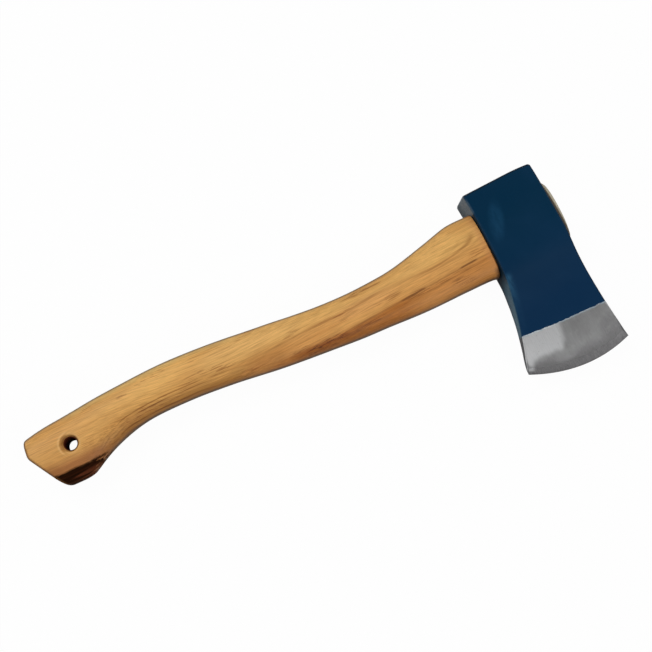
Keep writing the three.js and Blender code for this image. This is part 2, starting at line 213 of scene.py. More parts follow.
EYE = [  # x, half length along Y, half width along Z
    (-40.0, 19.8, 8.35), (-24.0, 19.8, 8.35), (-6.0, 19.5, 8.1),
    (10.0, 19.9, 8.5), (24.0, 20.3, 8.9), (40.0, 20.3, 8.9),
]
HAFT_COUNT = 144                    # points round the haft
SECTION_POWER = 2.7
KNOB_X = -288.0                     # where the plain sections give way to the knob
KNOB_RINGS = 96
KNOB_CENTRE = np.array([-304.0, 9.5, MID_Z])
KNOB_POLE = np.array([-1.0, -0.34, 0.0])
SHOULDER = dict(x=-24.6, y=1.6, half_y=21.5, half_z=10.6, power=3.2)
TONGUE_GAP = 0.12                   # between the tongue and the wall of the eye
HOLE_X, HOLE_Y, HOLE_RADIUS = -299.15, 11.15, 3.75


def outline_spread(x):
    """Smoothing of the back and belly: light at the knob and shoulder, wide between."""
    if x < -284:
        return 1.2
    if x < -60:
        return min(1.2 + (x + 284) * 0.25, 5.0)
    return max(1.6, 5.0 - (x + 60) * 0.2)


back_at = smoothed(HAFT, 1, outline_spread)
belly_at = smoothed(HAFT, 2, outline_spread)
half_at = smoothed(HAFT, 3, lambda x: 5.0)


def power_at(x):
    """Section power, squarer towards the head."""
    return SECTION_POWER + 0.5 * np.clip((x + 70) / 45, 0, 1)


def smooth_max(a, b, radius):
    h = np.maximum(radius - np.abs(a - b), 0) / radius
    return np.maximum(a, b) + h * h * radius * 0.25


def line_plane(start, end):
    """Signed distance from a plane that stands on a line in XY."""
    (x0, y0), (x1, y1) = start, end
    length = math.hypot(x1 - x0, y1 - y0)
    normal = ((y1 - y0) / length, -(x1 - x0) / length)
    return lambda p: (p[..., 0] - x0) * normal[0] + (p[..., 1] - y0) * normal[1]


CUT_CORNER = (-324.9, 14.6)         # where the end cut meets the toe cut
end_cut = line_plane((-324.0, 26.0), CUT_CORNER)
toe_cut = line_plane(CUT_CORNER, (-313.2, -8.0))
toe_corner = line_plane((-314.4, -6.5), (-311.0, -10.1))


def knob_field(points):
    """Signed measure of the knob, below zero inside. Here z is from the middle."""
    x = points[..., 0]
    back, belly, half = back_at(x), belly_at(x), half_at(x)
    centre, h = (back + belly) / 2, (back - belly) / 2
    p = power_at(x)
    v = (np.abs((points[..., 1] - centre) / h) ** p + (np.abs(points[..., 2] / half)) ** p) ** (1 / p)
    section = (v - 1) * np.minimum(h, half) * 1.15
    # the last argument of each is how widely the two surfaces are blended
    cut = smooth_max(end_cut(points), toe_cut(points), 0.9)
    cut = smooth_max(cut, toe_corner(points), 1.5)
    return smooth_max(section, cut, 2.2)


def eye_half_y(x):
    return hermite(EYE, 1, x)


def eye_half_z(x):
    return hermite(EYE, 2, x)


def haft_ring(x):
    back, belly = float(back_at(x)), float(belly_at(x))
    o = oval(HAFT_COUNT, (back - belly) / 2, float(half_at(x)), float(power_at(x)))
    lean = SHOULDER_LEAN * min(max((x + 60) / 33, 0), 1)
    y = o[:, 0]
    return np.stack([x + lean * y, (back + belly) / 2 + y, MID_Z + o[:, 1]], 1)


def knob_surface(directions):
    """Where rays from the knob's centre leave it, by bisection."""
    low, high = np.zeros(len(directions)), np.full(len(directions), 60.0)
    for _ in range(40):
        middle = (low + high) / 2
        points = KNOB_CENTRE + directions * middle[:, None]
        points[:, 2] -= MID_Z
        inside = knob_field(points) < 0
        low, high = np.where(inside, middle, low), np.where(inside, high, middle)
    return KNOB_CENTRE + directions * ((low + high) / 2)[:, None]


def knob_rings():
    """Rings that turn from the section at KNOB_X to a pole on the toe cut."""
    pole = KNOB_POLE / np.linalg.norm(KNOB_POLE)
    first = haft_ring(KNOB_X) - KNOB_CENTRE
    first /= np.linalg.norm(first, axis=1)[:, None]
    angle = np.arccos(np.clip(first @ pole, -1, 1))
    rings = []
    for k in range(1, KNOB_RINGS + 1):
        t = k / (KNOB_RINGS + 1)
        turned = np.sin((1 - t) * angle)[:, None] * first + np.sin(t * angle)[:, None] * pole
        rings.append(knob_surface(turned / np.sin(angle)[:, None]))
    return rings, knob_surface(pole[None])[0]


def shoulder_rings():
    """A rounded rim, then in to the tongue."""
    x, outer, steps = SHOULDER["x"], SHOULDER, 14
    inner = dict(y=EYE_Y, half_y=float(eye_half_y(x)) - TONGUE_GAP,
                 half_z=float(eye_half_z(x)) - TONGUE_GAP, power=EYE_POWER)
    rings = []
    for k in range(steps + 1):
        turn = k / steps * math.pi / 2
        share = 1 - math.cos(turn)
        now = {key: outer[key] + (inner[key] - outer[key]) * share for key in inner}
        o = oval(HAFT_COUNT, now["half_y"], now["half_z"], now["power"])
        # the rim is deepest on the belly side
        rim = 0.35 + 0.65 * np.clip((6.0 - o[:, 0]) / 18.0, 0, 1)
        rings.append(np.stack([x + SHOULDER_LEAN * o[:, 0] - rim * (1 - math.sin(turn)),
                               now["y"] + o[:, 0], MID_Z + o[:, 1]], 1))
    return rings


def tongue_oval(x):
    return oval(HAFT_COUNT, float(eye_half_y(x)) - TONGUE_GAP,
                float(eye_half_z(x)) - TONGUE_GAP, EYE_POWER)


def crown_x(q):
    """Height of the crown for q, 0 in the middle and 1 at the eye's wall."""
    return 25.2 + 2.75 * math.sqrt(1 - q ** 3.6)


def build_haft():
    knob, pole = knob_rings()
    rings = list(reversed(knob))
    x = KNOB_X
    while x < -26.4:
        rings.append(haft_ring(x))
        x += 1.4 if x < -272 else 1.9
    rings += shoulder_rings()
    for x in np.arange(-21.5, 23.0, 3.0):
        o = tongue_oval(x)
        rings.append(np.stack([np.full(HAFT_COUNT, x), EYE_Y + o[:, 0], MID_Z + o[:, 1]], 1))
    # the domed crown
    base, steps = tongue_oval(24.0), 26
    for k in range(steps):
        q = 1 - (k / steps) ** 1.35
        lean = CROWN_LEAN * min(1.0, 0.35 + k / 8)
        rings.append(np.stack([crown_x(q) + lean * base[:, 0] * q,
                               EYE_Y + base[:, 0] * q, MID_Z + base[:, 1] * q], 1))
    return solid("haft_body", *skin(rings, pole, np.array([crown_x(0.0), EYE_Y, MID_Z])))


def hole_tool():
    """The bore through the knob, its mouths eased like a trumpet's."""
    flare, deep, steps = 2.1, 2.9, 18
    top = float(half_at(HOLE_X)) + 0.02
    # radius and z from axis to axis; only the lower half is listed and the rest mirrors it
    profile = [(0, -(top + 3)), (HOLE_RADIUS + flare + 2.6, -(top + 3)),
               (HOLE_RADIUS + flare + 2.2, -(top + 0.5)), (HOLE_RADIUS + flare + 0.6, -(top + 0.12))]
    for k in range(steps + 1):
        q = k / steps
        profile.append((HOLE_RADIUS + flare * (1 - q) ** 2.3, -(top - deep * q)))
    profile += [(HOLE_RADIUS, 0.0)] + [(radius, -z) for radius, z in reversed(profile)]
    rings = []
    angle = np.linspace(0, 2 * np.pi, 96, endpoint=False)
    for radius, z in profile[1:-1]:
        # the mouths lean off centre as they widen
        shift = max(0.0, radius - HOLE_RADIUS) * 0.3
        rings.append(np.stack([HOLE_X - 0.35 * shift + radius * np.cos(angle),
                               HOLE_Y + shift + radius * np.sin(angle),
                               np.full(96, z + MID_Z)], 1))
    poles = [np.array([HOLE_X, HOLE_Y, profile[end][1] + MID_Z]) for end in (0, -1)]
    return solid("hole_tool", *skin(rings, *poles))


# --------------------------------------------------------------- the wedges
def prism(name, outline):
    """A bar along Y, longer than the eye, with an outline in XZ."""
    return capped_bar(name, [[(x, y, MID_Z + z) for x, z in outline] for y in (-30, 32)])


def wedge_half(x):
    return 0.45 + 1.85 * (x + 8.0) / 36.0


WEDGE_TIP, WEDGE_TOP = -8.0, 40     # ends of the wooden wedge in x, before it is trimmed
TIP_HALF, TOP_HALF = wedge_half(WEDGE_TIP), wedge_half(WEDGE_TOP)
WEDGE = [(WEDGE_TIP, -TIP_HALF), (WEDGE_TOP, -TOP_HALF), (WEDGE_TOP, TOP_HALF), (WEDGE_TIP, TIP_HALF)]
KERF_GAP = 0.08
KERF = [  # x, z: a narrow slit, then the wedge's own taper with a gap
    (-16.0, -0.6), (-8.4, -0.6), (-8.4, -TIP_HALF - KERF_GAP), (WEDGE_TOP, -TOP_HALF - KERF_GAP),
    (WEDGE_TOP, TOP_HALF + KERF_GAP), (-8.4, TIP_HALF + KERF_GAP), (-8.4, 0.6), (-16.0, 0.6),
]

STEEL_LENGTH = 22.0
STEEL_HALF_WIDTH = 12.5 / 2
STEEL_TOP_HALF, STEEL_TIP_HALF = 1.5, 0.35     # half thickness
POCKET_GAP = 0.07
STEEL_WEDGES = [  # mesh name, y, skew in y per mm of z
    ("steel_wedge_front_body", 9.5, 0.05), ("steel_wedge_rear_body", -8.0, -0.04),
]


def cross_bar(name, y, skew, outline, stations):
    """A bar along Z. outline is (x, y); stations are (z, thickness scale, highest x)."""
    return capped_bar(name, [[(min(x, limit), y + h * scale + skew * z, MID_Z + z)
                              for x, h in outline] for z, scale, limit in stations])


def steel_top(y):
    return 27.15 + CROWN_LEAN * (y - EYE_Y)


def steel_pocket(y, skew):
    top, thick, thin = steel_top(y), STEEL_TOP_HALF + POCKET_GAP, STEEL_TIP_HALF + POCKET_GAP
    tip = top - STEEL_LENGTH - POCKET_GAP
    outline = [(top + 6, thick), (top, thick), (tip, thin), (tip, -thin), (top, -thick), (top + 6, -thick)]
    end = STEEL_HALF_WIDTH + POCKET_GAP
    return cross_bar("pocket", y, skew, outline, [(-end, 1.0, math.inf), (end, 1.0, math.inf)])


def steel_wedge(name, y, skew):
    """A stepped cross wedge with softened top edges."""
    top, steps = steel_top(y), 4
    side = [(top, 1.25), (top - 0.25, 1.48), (top - 0.6, STEEL_TOP_HALF)]
    for k in range(1, steps + 1):
        x = top - k * STEEL_LENGTH / steps
        half = STEEL_TOP_HALF - 1.15 * k / steps
        if k < steps:
            side += [(x, half - 0.14), (x - 0.02, half)]
        else:
            side.append((x, half))
    outline = side + [(x, -half) for x, half in reversed(side)]
    w = STEEL_HALF_WIDTH
    stations = [(z, 1.0, math.inf) for z in (-w + 0.3, -w + 0.9, 0.0, w - 0.9, w - 0.3)]
    # the two ends are thinner and lower
    ends = [(z, 0.86, top - 0.22) for z in (-w, w)]
    return cross_bar(name, y, skew, outline, [ends[0], *stations, ends[1]])


haft = build_haft()
haft_full = haft.copy()
haft_full.data = haft.data.copy()
haft_full.name = "haft_full"
bpy.context.scene.collection.objects.link(haft_full)
boolean(haft, hole_tool())
boolean(haft, prism("kerf_tool", KERF))

# the wooden wedge is trimmed to the uncut haft
wooden = prism("wooden_wedge_body", WEDGE)
boolean(wooden, haft_full, "INTERSECT")
steels = []
for name, y, skew in STEEL_WEDGES:
    pocket = steel_pocket(y, skew)
    boolean(haft, pocket, keep_tool=True)
    boolean(wooden, pocket)
    steels.append(steel_wedge(name, y, skew))


# ----------------------------------------------------------------- the head
HEAD = [  # y low, x low, y high, x high, thickness, share of the edge's bow
    (32.0, -23.8, 32.0, 23.5, 25.0, 0), (24.0, -23.6, 24.0, 23.6, 25.0, 0),
    (8.0, -23.9, 8.0, 23.55, 25.0, 0), (-4.0, -24.35, -4.0, 23.45, 25.0, 0),
    (-9.0, -24.5, -9.0, 23.4, 24.9, 0), (-15.0, -24.8, -15.0, 23.1, 24.1, 0),
    (-21.0, -25.2, -21.0, 22.8, 22.3, 0), (-27.0, -25.8, -27.0, 22.5, 19.8, 0),
    (-34.0, -27.2, -34.0, 22.4, 17.0, 0), (-42.0, -28.9, -43.0, 22.55, 13.9, 0),
    (-50.0, -30.9, -53.0, 23.0, 11.2, 0.02), (-58.8, -33.6, -63.8, 23.7, 8.5, 0.06),
    (-66.0, -36.0, -71.9, 24.45, 6.2, 0.25), (-72.5, -38.45, -79.0, 25.25, 4.15, 0.55),
    (-76.6, -39.75, -83.9, 25.75, 2.7, 0.80), (-80.2, -40.2, -88.1, 26.25, 0.3, 1.0),
]
PAINT_ROW, BEVEL_ROW, EDGE_ROW = 11, 14, 15    # paint line, start of the fine bevel, edge
EDGE_BOW = 6.6
SIDE_STEPS, CHEEK_STEPS, ARC_STEPS = 10, 72, 7
POLL_EDGE = [(0.0, 32.0), (0.0, 32.75), (1.2, 33.95), (2.2, 33.95)]    # inset, y


def head_ring(row):
    """A rounded rectangle across the head; u is 0 at its low-x side and 1 at its high-x side."""
    y_low, x_low, y_high, x_high, thickness, bow = row
    half = thickness / 2
    r = min(1.35, 0.46 * thickness)
    width = x_high - x_low
    ru = r / width
    turns = [k / ARC_STEPS * math.pi / 2 for k in range(ARC_STEPS + 1)]
    across = [(1 - 2 * ru) * k / CHEEK_STEPS for k in range(CHEEK_STEPS + 1)]
    down = [(half - r) * (1 - 2 * k / SIDE_STEPS) for k in range(1, SIDE_STEPS)]
    section = [(ru + u, half) for u in across]
    section += [(1 - ru + ru * math.sin(q), half - r + r * math.cos(q)) for q in turns[1:]]
    section += [(1.0, z) for z in down]
    section += [(1 - ru + ru * math.cos(q), -half + r - r * math.sin(q)) for q in turns[:-1]]
    section += [(1 - ru - u, -half) for u in across]
    section += [(ru - ru * math.sin(q), -half + r - r * math.cos(q)) for q in turns[1:]]
    section += [(0.0, -z) for z in down]
    section += [(ru - ru * math.cos(q), half - r + r * math.sin(q)) for q in turns[:-1]]
    return np.array([(x_low + width * u,
                      y_low + (y_high - y_low) * u - bow * EDGE_BOW * 4 * u * (1 - u),
                      MID_Z + z) for u, z in section])


def corner_cut(points, times):
    """Rounds a polyline by cutting its corners at a quarter of each side."""
    for _ in range(times):
        out = [points[0]]
        for a, b in zip(points[:-1], points[1:]):
            out += [tuple(0.75 * u + 0.25 * v for u, v in zip(a, b)),
                    tuple(0.25 * u + 0.75 * v for u, v in zip(a, b))]
        points = out + [points[-1]]
    return points


def head_rows():
    """HEAD made dense from the poll to the edge."""
    table = np.array(HEAD, float)
    s = np.concatenate([[0], np.cumsum(np.hypot(np.diff(table[:, 2]), np.diff(table[:, 3])))])
    by_length = [(s[i], *table[i]) for i in range(len(table))]
    paint, bevel, edge = knots = [s[PAINT_ROW], s[BEVEL_ROW], s[EDGE_ROW]]
    thickness = [table[i, 4] for i in (PAINT_ROW, BEVEL_ROW, EDGE_ROW)]
    rows = []
    for v in [*np.arange(0, paint, 1.25), *np.linspace(paint, bevel, 20),
              *np.linspace(bevel, edge, 9)[1:]]:
        row = [float(hermite(by_length, column, v)) for column in range(1, 7)]
        # the ground bevels taper straight, with a slight swell on the first
        if v >= paint:
            row[4] = float(np.interp(v, knots, thickness))
            if v < bevel:
                t = (v - paint) / (bevel - paint)
                row[4] += 0.35 * 4 * t * (1 - t)
        rows.append(row)
    return rows


def edge_land(ring, base):
    """Quads that join the two sides of the cutting edge; base is the ring's first vertex."""
    def place(i):
        return round(ring[i][0], 5), round(ring[i][1], 5)

    below = {place(i): i for i in range(len(ring)) if ring[i][2] < MID_Z - 1e-9}
    above = [i for i in range(len(ring)) if ring[i][2] > MID_Z + 1e-9]
    above.sort(key=lambda i: ring[i][0])
    pairs = [(i, below[place(i)]) for i in above if place(i) in below]
    return [(base + a, base + c, base + d, base + b) for (a, b), (c, d) in zip(pairs, pairs[1:])]


def build_head():
    rows = head_rows()
    rings = [head_ring(row) for row in rows]
    # the poll: a softened bevel and a flat face
    first = rows[0]
    poll = [head_ring([y, first[1] + inset * 0.45, y, first[3] - inset * 0.45, 25.0 - 2 * inset, 0])
            for inset, y in corner_cut(POLL_EDGE, 3) if y > 32.02]
    rings = poll[::-1] + rings
    face = rings[0]
    centre = face.mean(0)
    rings = [centre + (face - centre) * scale for scale in (0.22, 0.45, 0.65, 0.82, 0.93)] + rings
    verts, faces = skin(rings, centre)
    faces += edge_land(rings[-1], (len(rings) - 1) * len(face))
    body = mesh_object("axe_head_body", verts, faces)
    bm = bmesh.new()
    bm.from_mesh(body.data)
    holes = [e for e in bm.edges if e.is_boundary]
    if holes:
        bmesh.ops.holes_fill(bm, edges=holes, sides=0)
    bmesh.ops.recalc_face_normals(bm, faces=bm.faces)
    bm.to_mesh(body.data)
    bm.free()
    return body


def forge(body):
    """Long, shallow waves that die out on the ground bevels, and a worn poll."""
    mesh = body.data
    count = len(mesh.vertices)
    places, normals = np.zeros(count * 3), np.zeros(count * 3)
    mesh.vertices.foreach_get("co", places)
    mesh.vertices.foreach_get("normal", normals)
    places, normals = places.reshape(-1, 3), normals.reshape(-1, 3)
    for k in range(count):
        x, y, z = places[k] * 1000
        # the poll has been hammered down a little towards +X
        near_poll = min(1.0, max(0.0, (y - 26.0) / 6.0))
        places[k][1] -= 0.9 * max(0.0, (x - 7.0) / 16.0) ** 2 * near_poll * MM
        fade = min(1.0, max(0.0, (y + 60.0) / 12.0)) if y < 29.0 else 0.4
        broad = noise.noise(Vector((x * 0.045 + 3.1, y * 0.035 - 1.7, z * 0.03 + 7.7)))
        small = noise.noise(Vector((x * 0.13 + 13.1, y * 0.11 + 5.7, z * 0.1 - 2.7)))
        places[k] += normals[k] * (0.10 * broad + 0.03 * small) * fade * MM
    mesh.vertices.foreach_set("co", places.ravel())
    mesh.update()


EYE_EASE = [  # x, how far the cut is wider than the eye
    (-34.0, 3.0), (-25.6, 1.3), (-25.2, 0.9), (-24.7, 0.5), (-24.2, 0.22), (-23.5, 0.06),
    (-22.8, 0.0), *((x, 0.0) for x in np.arange(-20, 21, 4.0)), (21.8, 0.0), (22.5, 0.06),
    (23.0, 0.22), (23.4, 0.5), (23.8, 0.95), (24.2, 1.5), (32.0, 3.2),
]


def eye_tool():
    """The eye, with its mouths eased, as a closed bar along X."""
    rings = []
    for x, ease in EYE_EASE:
        o = oval(160, float(eye_half_y(x)) + ease, float(eye_half_z(x)) + ease, EYE_POWER)
        lean = SHOULDER_LEAN if x < -22 else 0.0
        rings.append(np.stack([x + lean * o[:, 0], EYE_Y + o[:, 0], MID_Z + o[:, 1]], 1))
    poles = [np.array([EYE_EASE[end][0], EYE_Y, MID_Z]) for end in (0, -1)]
    return solid("eye_tool", *skin(rings, *poles))


def crisp_bevels(body):
    """Marks the ground lines across the cheeks sharp, where the bevels meet."""
    bm = bmesh.new()
    bm.from_mesh(body.data)
    for edge in bm.edges:
        if len(edge.link_faces) != 2:
            continue
        a, b = (face.normal for face in edge.link_faces)
        same_cheek = abs(a.z) > 0.9 and abs(b.z) > 0.9 and a.z * b.z > 0
        if same_cheek and math.degrees(a.angle(b)) > 4.0:
            edge.smooth = False
    bm.to_mesh(body.data)
    bm.free()


head = build_head()
forge(head)
boolean(head, eye_tool())

for body, crease in ((haft, 34), (head, 34), (wooden, 30), (steels[0], 25), (steels[1], 25)):
    finish_mesh(body, crease)
crisp_bevels(head)


# ---------------------------------------------------------- material helpers
def srgb(colour):
    """Linear RGBA of an 8-bit sRGB colour."""
    parts = [c / 255 for c in colour]
    return (*(c / 12.92 if c <= 0.04045 else ((c + 0.055) / 1.055) ** 2.4 for c in parts), 1.0)


class Field:
    """A node's output. Arithmetic on it adds Math nodes."""

    def __init__(self, net, socket):
        self.net = net
        self.socket = socket

    def __add__(self, other):
        return self.net.math("ADD", self, other)

    def __sub__(self, other):
        return self.net.math("SUBTRACT", self, other)

    def __rsub__(self, other):
        return self.net.math("SUBTRACT", other, self)

    def __mul__(self, other):
        return self.net.math("MULTIPLY", self, other)

    def __rmul__(self, other):
        return self.net.math("MULTIPLY", other, self)

    def __truediv__(self, other):
        return self.net.math("DIVIDE", self, other)

    def __pow__(self, other):
        return self.net.math("POWER", self, other)

    def __abs__(self):
        return self.net.math("ABSOLUTE", self)

    def scaled(self, by, plus):
        return self.net.math("MULTIPLY_ADD", self, by, plus)

    def ramp(self, start, end, low=0.0, high=1.0, kind="LINEAR"):
        """low where the field is start, high where it is end, held flat beyond them."""
        return self.net.add("MapRange", {"Value": self, "From Min": start, "From Max": end,
                                         "To Min": low, "To Max": high},
                            interpolation_type=kind, clamp=True)

    def fade(self, start, end, low=0.0, high=1.0):
        """A ramp with eased ends."""
        return self.ramp(start, end, low, high, "SMOOTHSTEP")

    def line(self, width):
        """1 where the field is 0, falling away over width."""
        q = self / width
        return self.net.math("EXPONENT", q * q * -1.0)

    def curve(self, points):
        """A smooth function through (field, value) points, held flat beyond them."""
        lo, hi = points[0][0], points[-1][0]
        y0, y1 = min(p[1] for p in points), max(p[1] for p in points)
        node = self.net.node("FloatCurve", {"Value": self.ramp(lo, hi)})
        knots = node.mapping.curves[0].points
        at = [((x - lo) / (hi - lo), (y - y0) / (y1 - y0)) for x, y in points]
        knots[0].location = at[0]
        knots[-1].location = at[-1]
        for place in at[1:-1]:
            knots.new(*place)
        for knot in knots:
            knot.handle_type = "AUTO_CLAMPED"
        node.mapping.update()
        return Field(self.net, node.outputs[0]).scaled(y1 - y0, y0)

    def grey_ramp(self, stops):
        """A colour ramp through (position, grey) stops."""
        node = self.net.node("ValToRGB", {0: self})
        elements = node.color_ramp.elements
        elements.remove(elements[-1])
        elements[0].position = stops[0][0]
        for position, _ in stops[1:]:
            elements.new(position)
        for element, (_, grey) in zip(elements, stops):
            element.color = (grey, grey, grey, 1)
        return Field(self.net, node.outputs[0])

    def tint(self, mask, colour, amount=None):
        """This colour, covered with another where mask is 1, by up to amount."""
        return self.net.mix(mask if amount is None else mask * amount, self, colour)


class Net:
    """A material's node tree, with the place in mm and its three axes ready."""

    def __init__(self, name):
        self.material = bpy.data.materials.new(name)
        self.material.use_nodes = True
        self.tree = self.material.node_tree
        self.tree.nodes.clear()
        self.out = self.node("OutputMaterial")

    def put(self, socket, value):
        if isinstance(value, Field):
            self.tree.links.new(value.socket, socket)
        else:
            socket.default_value = value

    def node(self, kind, inputs=None, **settings):
        node = self.tree.nodes.new("ShaderNode" + kind)
        for key, value in settings.items():
            setattr(node, key, value)
        for key, value in (inputs or {}).items():
            self.put(node.inputs[key], value)
        return node

    def add(self, kind, inputs=None, output=0, **settings):
        return Field(self, self.node(kind, inputs, **settings).outputs[output])

    def math(self, operation, *values):
        return self.add("Math", dict(enumerate(values)), operation=operation)

    def split(self, vector):
        node = self.node("SeparateXYZ", {0: vector})
        return [Field(self, output) for output in node.outputs]

    def place(self):
        """The place in mm, and its x, y and z."""
        place = self.add("VectorMath", {0: self.add("TexCoord", output="Object"), 3: 1000.0},
                         operation="SCALE")
        return place, *self.split(place)

    def stretch(self, place, scale, shift):
        scaled = self.add("VectorMath", {0: place, 1: scale}, operation="MULTIPLY")
        return self.add("VectorMath", {0: scaled, 1: shift}, operation="ADD")

    def noises(self, place, table):
        """Fields by name. Rows are scale x, y, z, shift x, y, z, detail, roughness."""
        return {name: self.add("TexNoise", {"Vector": self.stretch(place, row[:3], row[3:6]),
                                            "Scale": 1.0, "Detail": row[6], "Roughness": row[7]})
                for name, row in table.items()}

    def mix(self, mask, under, over, blend="MIX"):
        under, over = (c if isinstance(c, Field) else srgb(c) for c in (under, over))
        return self.add("Mix", {0: mask, 6: under, 7: over}, output=2,
                        data_type="RGBA", blend_type=blend)

    def spot(self, x, y, centre, size, rim=(1.5, 0.3)):
        """1 inside an oval; rim is the squared radii where it starts and is full."""
        u = (x - centre[0]) / size[0]
        v = (y - centre[1]) / size[1]
        return (u * u + v * v).fade(*rim)

    def facing(self):
        return self.add("LayerWeight", {0: 0.5}, output="Facing")

    def bump(self, height, depth, strength, over=None):
        """A bump depth mm high, on top of the normal over."""
        inputs = {"Strength": strength, "Distance": depth * MM, "Height": height}
        if over is not None:
            inputs["Normal"] = over
        return self.add("Bump", inputs)

    def finish(self, shader):
        self.put(self.out.inputs[0], shader)
        return self.material

    def principled(self, inputs):
        return self.finish(self.add("BsdfPrincipled", inputs))


# ------------------------------------------------------------------ hickory
# noise rows: scale x, y, z, shift x, y, z, detail, roughness
BILLET_NOISE = {
    "ragged": (0.014, 0.42, 0.42, 17, 5, 9, 3, 0.55),
    "drift": (0.009, 0.02, 0.02, 4.1, 1.3, 0.2, 2, 0.5),
    "small_drift": (0.03, 0.05, 0.05, 14.1, 7.3, 2.2, 2, 0.5),
    "ring_patches": (0.012, 0.16, 0.16, 9.0, 2.0, 5.0, 3, 0.6),
    "blotch": (0.016, 0.07, 0.07, 21, 3, 1, 3, 0.55),
    "wander": (0.035, 0.06, 0.06, 31, 13, 5, 3, 0.6),
    "sway": (0.02, 0.10, 0.1, 55, 3, 15, 2, 0.5),
    "run_out_breaks": (0.022, 0.45, 0.45, 5, 9, 4, 3, 0.6),
    "toe_wave": (0.12, 0.5, 0.5, 1, 2, 3, 3, 0.6),
    "toe_teeth": (0.10, 1.7, 1.7, 9, 2, 3, 2, 0.5),
    "toe_tone": (0.05, 0.7, 0.7, 7, 2, 3, 3, 0.6),
    "crown_tone": (0.6, 1.6, 1.6, 3, 2, 1, 4, 0.6),
    "saw": (2.0, 0.9, 3.5, 3, 2, 1, 3, 0.6),
}
FIBRE_NOISE = {  # these lean with the grip
    "fibre": (0.055, 1.5, 1.5, 0, 3, 1, 5, 0.68),
    "fine_fibre": (0.13, 4.2, 4.2, 5, 8, 1, 3, 0.6),
    "pore": (0.16, 5.6, 5.6, 2, 1, 6, 1.5, 0.5),
    "broken": (0.10, 0.9, 0.9, 3, 33, 5, 3, 0.62),
    "dash": (0.085, 1.75, 1.75, 7, 1, 3, 3, 0.50),
    "growth_lines": (0.016, 1.15, 1.15, 61, 23, 5, 4, 0.72),
}
FIBRE_LEAN = [(-330, 12.6), (-270, 9.2), (-240, 5.0), (-215, 1.7), (-200, 0.5), (-184, 0.0), (-24, 0.0)]
RING_SHADE = [  # share of a ring, darkness
    (0.0, 0.95), (0.10, 0.75), (0.26, 0.32), (0.55, 0.10), (0.90, 0.0), (0.965, 0.45), (1.0, 0.95),
]
SAP_PALE, SAP_DEEP = (218, 168, 96), (207, 153, 84)
SAP_BELLY_SHADE, SAP_RING, SAP_FIGURE = (151, 94, 28), (166, 106, 48), (224, 174, 100)
HEART_PALE, HEART_DEEP, HEART_RING = (196, 128, 62), (178, 110, 46), (144, 80, 26)

# spots of tone: centre x, y, half sizes x, y, squared radius of the full part, amount, colour
HAND_SPOTS = [(-180, 16, 34, 8, 0.1, 0.7, (226, 178, 106))]
MIDDLE_SPOTS = [
    (-176, 3.0, 16, 6.5, 0.0, 0.34, (150, 92, 36)), (-232, 21.5, 26, 5.0, 0.0, 0.45, (232, 178, 98)),
    (-314, 9.0, 15, 14.0, 0.1, 0.30, (172, 112, 48)),
]
LATE_SPOTS = [
    (-243, 13.0, 22, 4.0, 0.0, 0.34, (224, 172, 96)), (-317, 1.0, 6, 6, 0.1, 0.34, (146, 92, 44)),
    (-108, 3.0, 20, 4.5, 0.0, 0.30, (224, 166, 104)),
]
STREAKS = [  # (x, y) it runs through, width, (x, strength) along it, colour, amount, is it broken
    ([(-172, 5.2), (-150, 5.6), (-125, 4.8), (-105, 5.0), (-80, 4.2), (-60, 3.2)], 0.75,
     [(-176, 0), (-160, 0.5), (-148, 0.6), (-128, 0.95), (-104, 0.85), (-92, 0.35), (-60, 0.30),
      (-50, 0)], (150, 94, 44), 0.66, False),
    ([(-120, 12.0), (-112, 11.6), (-97, 10.9)], 0.50,
     [(-122, 0), (-114, 0.8), (-108, 0.6), (-104, 1.0), (-97, 0.8), (-92, 0)],
     (128, 72, 30), 0.80, False),
    ([(-120, -5.9), (-88, -5.6), (-70, -5.1), (-50, -4.9), (-28, -4.6)], 0.55,
     [(-124, 0), (-112, 0.35), (-90, 0.25), (-86, 1.0), (-73, 1.0), (-70, 0.45), (-56, 0.5),
      (-48, 0.45), (-45, 1.0), (-37, 1.0), (-34, 0.3), (-26, 0.2)], (92, 50, 18), 0.86, False),
    ([(-90, -8.2), (-70, -7.8), (-45, -7.7), (-26, -7.0)], 0.42,
     [(-94, 0), (-84, 0.5), (-60, 0.75), (-50, 0.4), (-36, 0.6), (-26, 0.3)],
     (110, 60, 24), 0.62, True),
    ([(-175, -3.4), (-160, -4.4), (-150, -5.7), (-140, -6.6), (-126, -7.4), (-112, -7.2)], 1.55,
     [(-178, 0), (-168, 0.35), (-154, 0.55), (-150, 0.95), (-128, 1.0), (-124, 0.45),
      (-112, 0.22), (-104, 0)], (118, 54, 8), 0.84, True),
    ([(-156, -7.2), (-142, -8.6), (-122, -9.6)], 0.9,
     [(-160, 0), (-152, 0.6), (-130, 0.7), (-118, 0.3), (-112, 0)], (126, 68, 34), 0.6, True),
    ([(-118, -0.4), (-86, 0.4)], 0.5, [(-120, 0), (-102, 0.5), (-92, 0.7), (-84, 0)],
     (150, 92, 46), 0.45, True),
]
